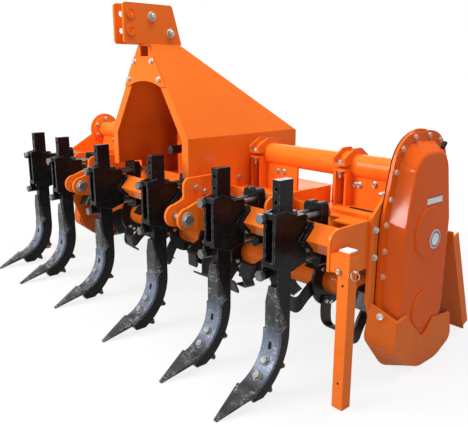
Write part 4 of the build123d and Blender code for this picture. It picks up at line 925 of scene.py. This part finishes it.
def tint_faces(piece, names, choose):
    """Gives a piece several finishes; choose(middle, normal) says which face takes which."""
    for name in names:
        piece.data.materials.append(FINISHES[name])
    for face in piece.data.polygons:
        face.material_index = choose(face.center, face.normal)


def plate_tint(middle, normal):
    """White field, dark rim and sides."""
    return 0 if abs(middle.z - PLATE_Z * MM) < FIELD_HALF and normal.x > ROUGHLY else 1


plate = begin(bpy.ops.mesh.primitive_cube_add, size=1.0,
              location=spot(COVER_FACE + PLATE_THICK / 2 - PLATE_SINK, PLATE_Y, PLATE_Z),
              scale=(PLATE_THICK * MM, PLATE_LONG * MM, PLATE_TALL * MM))
round_top(plate, RIGHTWARD, PLATE_EDGE)
bpy.ops.mesh.inset(thickness=PLATE_RIM, depth=0)
bpy.ops.mesh.inset(thickness=PLATE_STEP, depth=-PLATE_DEEP)
done()
tint_faces(plate, ("plate_white", "dark_bolt"), plate_tint)
dress(plate, "case_plate", slot="zinc")

# %% Make the badge
BADGE_Y, BADGE_Z, BADGE_R, BADGE_LIFT = 36.0, 466.0, 33.0, 0.6
BADGE_RIM, BADGE_RING, BADGE_SLACK = 2.6, 8.0, 0.6
BADGE_THICK, BADGE_EDGE, BADGE_RISE, BADGE_STEP, BADGE_DEEP = 0.0016, 0.0005, 0.0002, 0.0008, 0.0003
BADGE_MIDDLE = spot(0, BADGE_Y, BADGE_Z)


def badge_tint(middle, normal):
    """White rim and middle with a blue ring between them."""
    out = ((middle.y - BADGE_MIDDLE.y) ** 2 + (middle.z - BADGE_MIDDLE.z) ** 2) ** 0.5 / MM
    outer = BADGE_R - BADGE_RIM - BADGE_SLACK
    return 1 if outer - BADGE_RING < out < outer else 0


badge = begin(bpy.ops.mesh.primitive_cylinder_add, vertices=48, radius=BADGE_R * MM, depth=BADGE_THICK,
              rotation=(0, pi / 2, 0), location=spot(BOSS_FACE + BADGE_LIFT, BADGE_Y, BADGE_Z))
round_top(badge, RIGHTWARD, BADGE_EDGE)
bpy.ops.mesh.inset(thickness=BADGE_RIM * MM, depth=0)
bpy.ops.mesh.inset(thickness=BADGE_RING * MM, depth=BADGE_RISE)
bpy.ops.mesh.inset(thickness=BADGE_STEP, depth=-BADGE_DEEP)
done()
tint_faces(badge, ("plate_white", "plate_blue"), badge_tint)
dress(badge, "case_badge", slot="zinc")

# %% Make the breather
BREATHER_PLACE, BREATHER_WAY = (1100, 85, 773), (0, 0.69, 0.72)
NECK_R, NECK_TALL, NECK_MIDDLE = 0.008, 0.012, 0.005
BREATHER_BRIM, BREATHER_TALL, BREATHER_ROUND = 0.005, 0.012, 0.003
breather = begin(bpy.ops.mesh.primitive_cylinder_add, vertices=16, radius=NECK_R, depth=NECK_TALL,
                 location=(0, 0, NECK_MIDDLE))
edit()
pick_faces(breather, facing(UP))
bpy.ops.mesh.inset(thickness=-BREATHER_BRIM, depth=0)
bpy.ops.mesh.extrude_region_move(TRANSFORM_OT_translate={"value": (0, 0, BREATHER_TALL)})
bpy.ops.mesh.bevel(offset=BREATHER_ROUND, segments=3, affect="EDGES")
done()
MODELS.append(breather)
put_copies(breather, [(spot(*BREATHER_PLACE), BREATHER_WAY)], "case_breather", slot="black_paint")

# %% [markdown]
# Holes that are too small for the solids.
# The shares have a slotted hole above their bolts, the stand legs have holes for the lock pin, and the deck
# has a slot beside each end. Each is a thin dark inlay with a rounded outline that lies in the surface:
# a cylinder whose halves are pulled apart into a slot, with its face inset and sunk. Its near-black colour
# is painted shade that stands in for the dark inside of the hole.

# %% Inlay the holes
SLOT_RIM, SLOT_SINK = 0.08, 0.2
HAIR = 1e-6
SHARE_SLOT_TURN = 13
LEG_FRONT, LEG_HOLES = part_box("stand_leg_right")[0].y, (408.0, 87.0)
DECK_LOW, DECK_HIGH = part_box("deck")
DECK_SLOT_X, DECK_SLOT_Y = 887.0, -57.0
SIDES = {"right": 1, "left": -1}


def model_slot(long, wide, deep):
    """A flat slot shape along X that faces +Z, its face a hair proud of the surface."""
    slot = begin(bpy.ops.mesh.primitive_cylinder_add, vertices=24, radius=wide / 2, depth=deep,
                 location=(0, 0, 0))
    edit()
    mesh = bmesh.from_edit_mesh(slot.data)
    bpy.ops.mesh.select_mode(type="VERT")
    for hand in HANDS:
        bpy.ops.mesh.select_all(action="DESELECT")
        for corner in mesh.verts:
            corner.select_set((corner.co.x > -HAIR) == (hand > 0))
        bmesh.update_edit_mesh(slot.data)
        bpy.ops.transform.translate(value=(hand * (long - wide) / 2, 0, 0))
    pick_faces(slot, facing(UP))
    bpy.ops.mesh.inset(thickness=wide * SLOT_RIM, depth=-deep * SLOT_SINK)
    done()
    MODELS.append(slot)
    return slot


def lay(model, places, name, body="frame", slot="black_paint"):
    """Lays copies of a slot at (point, direction, way along), joins them and dresses them in near-black
    painted shade.
    """
    matrices = []
    for point, direction, along in places:
        up, way = Vector(direction).normalized(), Vector(along).normalized()
        turn = Matrix((way, up.cross(way), up)).transposed().to_4x4()
        matrices.append(Matrix.Translation(point) @ turn)
    return dress(join_copies(model, matrices), name, body, slot, "painted_shade")


share_slot = model_slot(long=0.026, wide=0.014, deep=0.0016)
leg_hole = model_slot(long=0.0085, wide=0.008, deep=0.0004)
deck_slot = model_slot(long=0.104, wide=0.022, deep=0.001)
slot_places = []
for x in SHANK_X:
    point, outward = on_bend(x, SHARE_FACE_R, SHARE_SLOT_TURN)
    slot_places.append((point, -outward, Vector((0, outward.z, -outward.y))))
lay(share_slot, slot_places, "share_slots", slot="share_steel")
lay(deck_slot, [(Vector((hand * DECK_SLOT_X * MM, ROTOR_Y + DECK_SLOT_Y * MM, DECK_HIGH.z)), UP, RIGHTWARD)
                for hand in HANDS], "deck_slots")
for side_name in SIDES:
    low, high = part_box("stand_leg_" + side_name)
    hole_places = [(Vector(((low.x + high.x) / 2, LEG_FRONT, z * MM)), FORWARD, UP) for z in LEG_HOLES]
    lay(leg_hole, hole_places, "leg_holes_" + side_name, body="leg_" + side_name)

# %% [markdown]
# Stands: caps, lock pins and rings.
# A square leg slides in each sleeve and a pin through both holds it. A white plastic cap closes the top of
# the tube; it moves with the leg. The pin and its spring ring stay on the sleeve. The ring is a spun wire:
# a torus that is pulled a little out of round, with the tail of its own pin beside it.

# %% Make the stand fittings
SLEEVE_LOW, SLEEVE_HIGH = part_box("stand_sleeves")
PIN_UP = 0.452
CAP_TALL, CAP_SIDE, CAP_SINK = 0.005, 0.038, 0.0003
CAP_EDGE, CAP_RIM, CAP_DISH = 0.0022, 0.006, 0.001
LOCK_R, LOCK_LONG, LOCK_OUT, LOCK_ASIDE = 0.0085, 0.010, 0.0045, 0.012
LOCK_EDGE, LOCK_RIM, LOCK_DISH = 0.002, 0.002, 0.0008
RING_R, RING_WIRE, RING_LEAN, RING_PULL = 0.016, 0.0014, 0.45, (1.0, 1.15, 0.9)
RING_ASIDE, RING_FRONT, RING_DROP = 0.033, 0.006, 0.008
TAIL_R, TAIL_LONG, TAIL_RISE, TAIL_SINK, TAIL_EDGE = 0.004, 0.013, 0.0045, 0.0005, 0.0012


def make_cap(side_name, middle, top):
    """A square plastic cap with rounded edges and a shallow dish."""
    cap = begin(bpy.ops.mesh.primitive_cube_add, size=1.0,
                location=(middle.x, middle.y, top + CAP_TALL / 2 - CAP_SINK),
                scale=(CAP_SIDE, CAP_SIDE, CAP_TALL))
    round_top(cap, UP, CAP_EDGE, segments=3)
    bpy.ops.mesh.inset(thickness=CAP_RIM, depth=-CAP_DISH)
    done()
    dress(cap, "leg_cap_" + side_name, body="leg_" + side_name, finish_name="plate_white")


def make_lock_pin(side_name, hand, middle):
    """The round head of the lock pin on the front of the sleeve."""
    pin = begin(bpy.ops.mesh.primitive_cylinder_add, vertices=20, radius=LOCK_R, depth=LOCK_LONG,
                rotation=(pi / 2, 0, 0),
                location=(middle.x - hand * LOCK_ASIDE, SLEEVE_LOW.y - LOCK_OUT, PIN_UP))
    round_top(pin, FORWARD, LOCK_EDGE, segments=2)
    bpy.ops.mesh.inset(thickness=LOCK_RIM, depth=-LOCK_DISH)
    done()
    dress(pin, "lock_pin_" + side_name)


def make_lock_ring(side_name, hand, middle):
    """The spring ring on the side of the sleeve, and the tail of the pin that it hangs on."""
    ring_x, ring_y = middle.x + hand * RING_ASIDE, middle.y - RING_FRONT
    wire = begin(bpy.ops.mesh.primitive_torus_add, major_segments=36, minor_segments=8, major_radius=RING_R,
                 minor_radius=RING_WIRE, rotation=(0, pi / 2 - hand * RING_LEAN, 0),
                 location=(ring_x, ring_y, PIN_UP - RING_DROP))
    edit()
    bpy.ops.mesh.select_all(action="SELECT")
    bpy.ops.transform.resize(value=RING_PULL, center_override=(ring_x, middle.y, PIN_UP))
    bpy.ops.mesh.select_all(action="DESELECT")
    tail_x = SLEEVE_HIGH.x + TAIL_LONG / 2 - TAIL_SINK
    bpy.ops.mesh.primitive_cylinder_add(vertices=16, radius=TAIL_R, depth=TAIL_LONG, rotation=(0, pi / 2, 0),
                                        location=(hand * tail_x, ring_y, PIN_UP + TAIL_RISE))
    pick_faces(wire, facing(hand * RIGHTWARD, EXACTLY, beyond=tail_x))
    bpy.ops.mesh.bevel(offset=TAIL_EDGE, segments=2, affect="EDGES")
    done()
    dress(wire, "lock_ring_" + side_name)


for side_name, hand in SIDES.items():
    low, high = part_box("stand_leg_" + side_name)
    leg_middle = (low + high) / 2
    make_cap(side_name, leg_middle, high.z)
    make_lock_pin(side_name, hand, leg_middle)
    make_lock_ring(side_name, hand, leg_middle)

# %% [markdown]
# Lower link pins.
# The tractor's lower arms sit on a pin between two ears. Outside, a thick washer and a round head close
# the pin. The head is turned on a lathe, so it is built from rings that are inset and pushed out. The
# inner ear of each pair is a tall cheek plate, and two bolts on it hold it to the frame.

# %% Make the pin heads
EAR_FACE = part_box("hitch_ears")[1].x
PIN_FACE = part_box("hitch_pins")[1].x
INNER_EAR = 368.0
LINK_PIN_Y, LINK_PIN_Z = -514.0, 498.0
PIN_WASHER_R, PIN_WASHER_TALL, PIN_WASHER_MIDDLE, PIN_WASHER_EDGE = 0.0275, 0.004, 0.0018, 0.001
HEAD_STEP, HEAD_SHORT, HEAD_EDGE = 0.0065, 0.002, 0.0016
HEAD_TOP, HEAD_RIM, HEAD_DISH = 0.01, 0.006, 0.0008
head = begin(bpy.ops.mesh.primitive_cylinder_add, vertices=40, radius=PIN_WASHER_R, depth=PIN_WASHER_TALL,
             location=(0, 0, PIN_WASHER_MIDDLE))
round_top(head, UP, PIN_WASHER_EDGE)
bpy.ops.mesh.inset(thickness=HEAD_STEP, depth=0)
bpy.ops.mesh.extrude_region_move(TRANSFORM_OT_translate={"value": (0, 0, PIN_FACE - EAR_FACE - HEAD_SHORT)})
bpy.ops.mesh.bevel(offset=HEAD_EDGE, segments=2, affect="EDGES")
pick_faces(head, facing(UP, EXACTLY, beyond=HEAD_TOP))
bpy.ops.mesh.inset(thickness=HEAD_RIM, depth=-HEAD_DISH)
done()
MODELS.append(head)
pin_places = on_sides(EAR_FACE / MM, [(LINK_PIN_Y, LINK_PIN_Z)])
pin_places += [(spot(hand * INNER_EAR, LINK_PIN_Y, LINK_PIN_Z), (-hand, 0, 0)) for hand in HANDS]
put_copies(head, pin_places, "link_pin_heads")

# %% Set the bolts of the cheeks
CHEEK_FACE = 380.0
CHEEK_BOLTS = [(-413, 591), (-371, 571)]
put_copies(BOLT_12, on_sides(CHEEK_FACE, CHEEK_BOLTS), "cheek_bolts")

# %% [markdown]
# Welds.
# A weld is a row of small puddles, each laid over the edge of the last. One squashed ball is repeated by an
# Array modifier along each straight seam, which gives the scalloped bead of a hand weld. The seams are the
# outlines of the feet that stand on the deck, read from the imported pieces.

# %% Lay the weld beads
BEAD_R, BEAD_SQUASH = 0.0042, (0.7, 1.0, 0.9)
BEAD_STEP = BEAD_R * 0.95
SHORTEST_SEAM = 0.02


def bead_row(start, end):
    """A row of puddles from start to end."""
    bead = begin(bpy.ops.mesh.primitive_uv_sphere_add, segments=8, ring_count=4, radius=BEAD_R)
    edit()
    bpy.ops.mesh.select_all(action="SELECT")
    bpy.ops.transform.resize(value=BEAD_SQUASH)
    done()
    row = bead.modifiers.new("row", "ARRAY")
    row.use_relative_offset = False
    row.use_constant_offset = True
    row.constant_offset_displace = (BEAD_STEP, 0, 0)
    row.count = max(2, int((end - start).length / BEAD_STEP) + 1)
    bpy.ops.object.modifier_apply(modifier="row")
    turn = (end - start).to_track_quat("X", "Z").to_matrix().to_4x4()
    bead.matrix_world = Matrix.Translation(start) @ turn
    bpy.ops.object.transform_apply(location=True, rotation=True, scale=True)
    return bead


def on_deck(point):
    """The point moved along Y to where the deck still lies under it."""
    return Vector((point.x, min(max(point.y, DECK_LOW.y + BEAD_R), DECK_HIGH.y - BEAD_R), point.z))


def weld_feet(nodes, name):
    """Beads along every straight edge where these pieces stand on the deck."""
    rows = []
    for node in nodes:
        for loop in outlines(node, 2, DECK_HIGH.z, -1):
            for start, end in zip(loop, loop[1:] + loop[:1]):
                start, end = on_deck(start), on_deck(end)
                if (end - start).length > SHORTEST_SEAM:
                    rows.append(bead_row(start, end))
    return dress(join_pieces(rows), name, slot="orange_paint")


weld_feet(["hood_side_right", "hood_side_left"], "hood_welds")
weld_feet(["tube_collars", "tube_uprights"], "support_welds")

# %% [markdown]
# Splines of the drive stub.
# The shaft that the tractor turns has six raised splines. Faces round a plain sleeve are picked by their
# angle, six pairs of them, and pushed out. The splines turn with the stub, so they ride on its body.

# %% Raise the splines
STUB_Z, STUB_FRONT, STUB_BACK = 684.0, -260.0, -205.0
STUB_MIDDLE = spot(0, (STUB_FRONT + STUB_BACK) / 2, STUB_Z)
STUB_R, SPLINE_RISE, SPLINES, STUB_EDGE = 17.7, 1.6, 6, 0.0012


def on_spline(middle, normal):
    """Two faces of every four round the stub."""
    turn = atan2(middle.z - STUB_MIDDLE.z, middle.x) / (2 * pi) * SPLINES
    return abs(normal.y) < BARELY and turn % 1.0 < 0.5


stub = begin(bpy.ops.mesh.primitive_cylinder_add, vertices=24, radius=STUB_R * MM,
             depth=(STUB_BACK - STUB_FRONT) * MM, rotation=(pi / 2, 0, 0), location=STUB_MIDDLE)
edit()
pick_faces(stub, on_spline)
bpy.ops.mesh.extrude_region_shrink_fatten(TRANSFORM_OT_shrink_fatten={"value": SPLINE_RISE * MM})
bpy.ops.mesh.select_all(action="SELECT")
bpy.ops.mesh.normals_make_consistent(inside=False)
pick_faces(stub, facing(FORWARD))
bpy.ops.mesh.bevel(offset=STUB_EDGE, affect="EDGES")
done()
dress(stub, "stub_splines", body="pto", slot="stub_steel", finish_name="dark_bolt")

# %% Put the models away
for model in MODELS:
    bpy.data.objects.remove(model)
print("models removed")
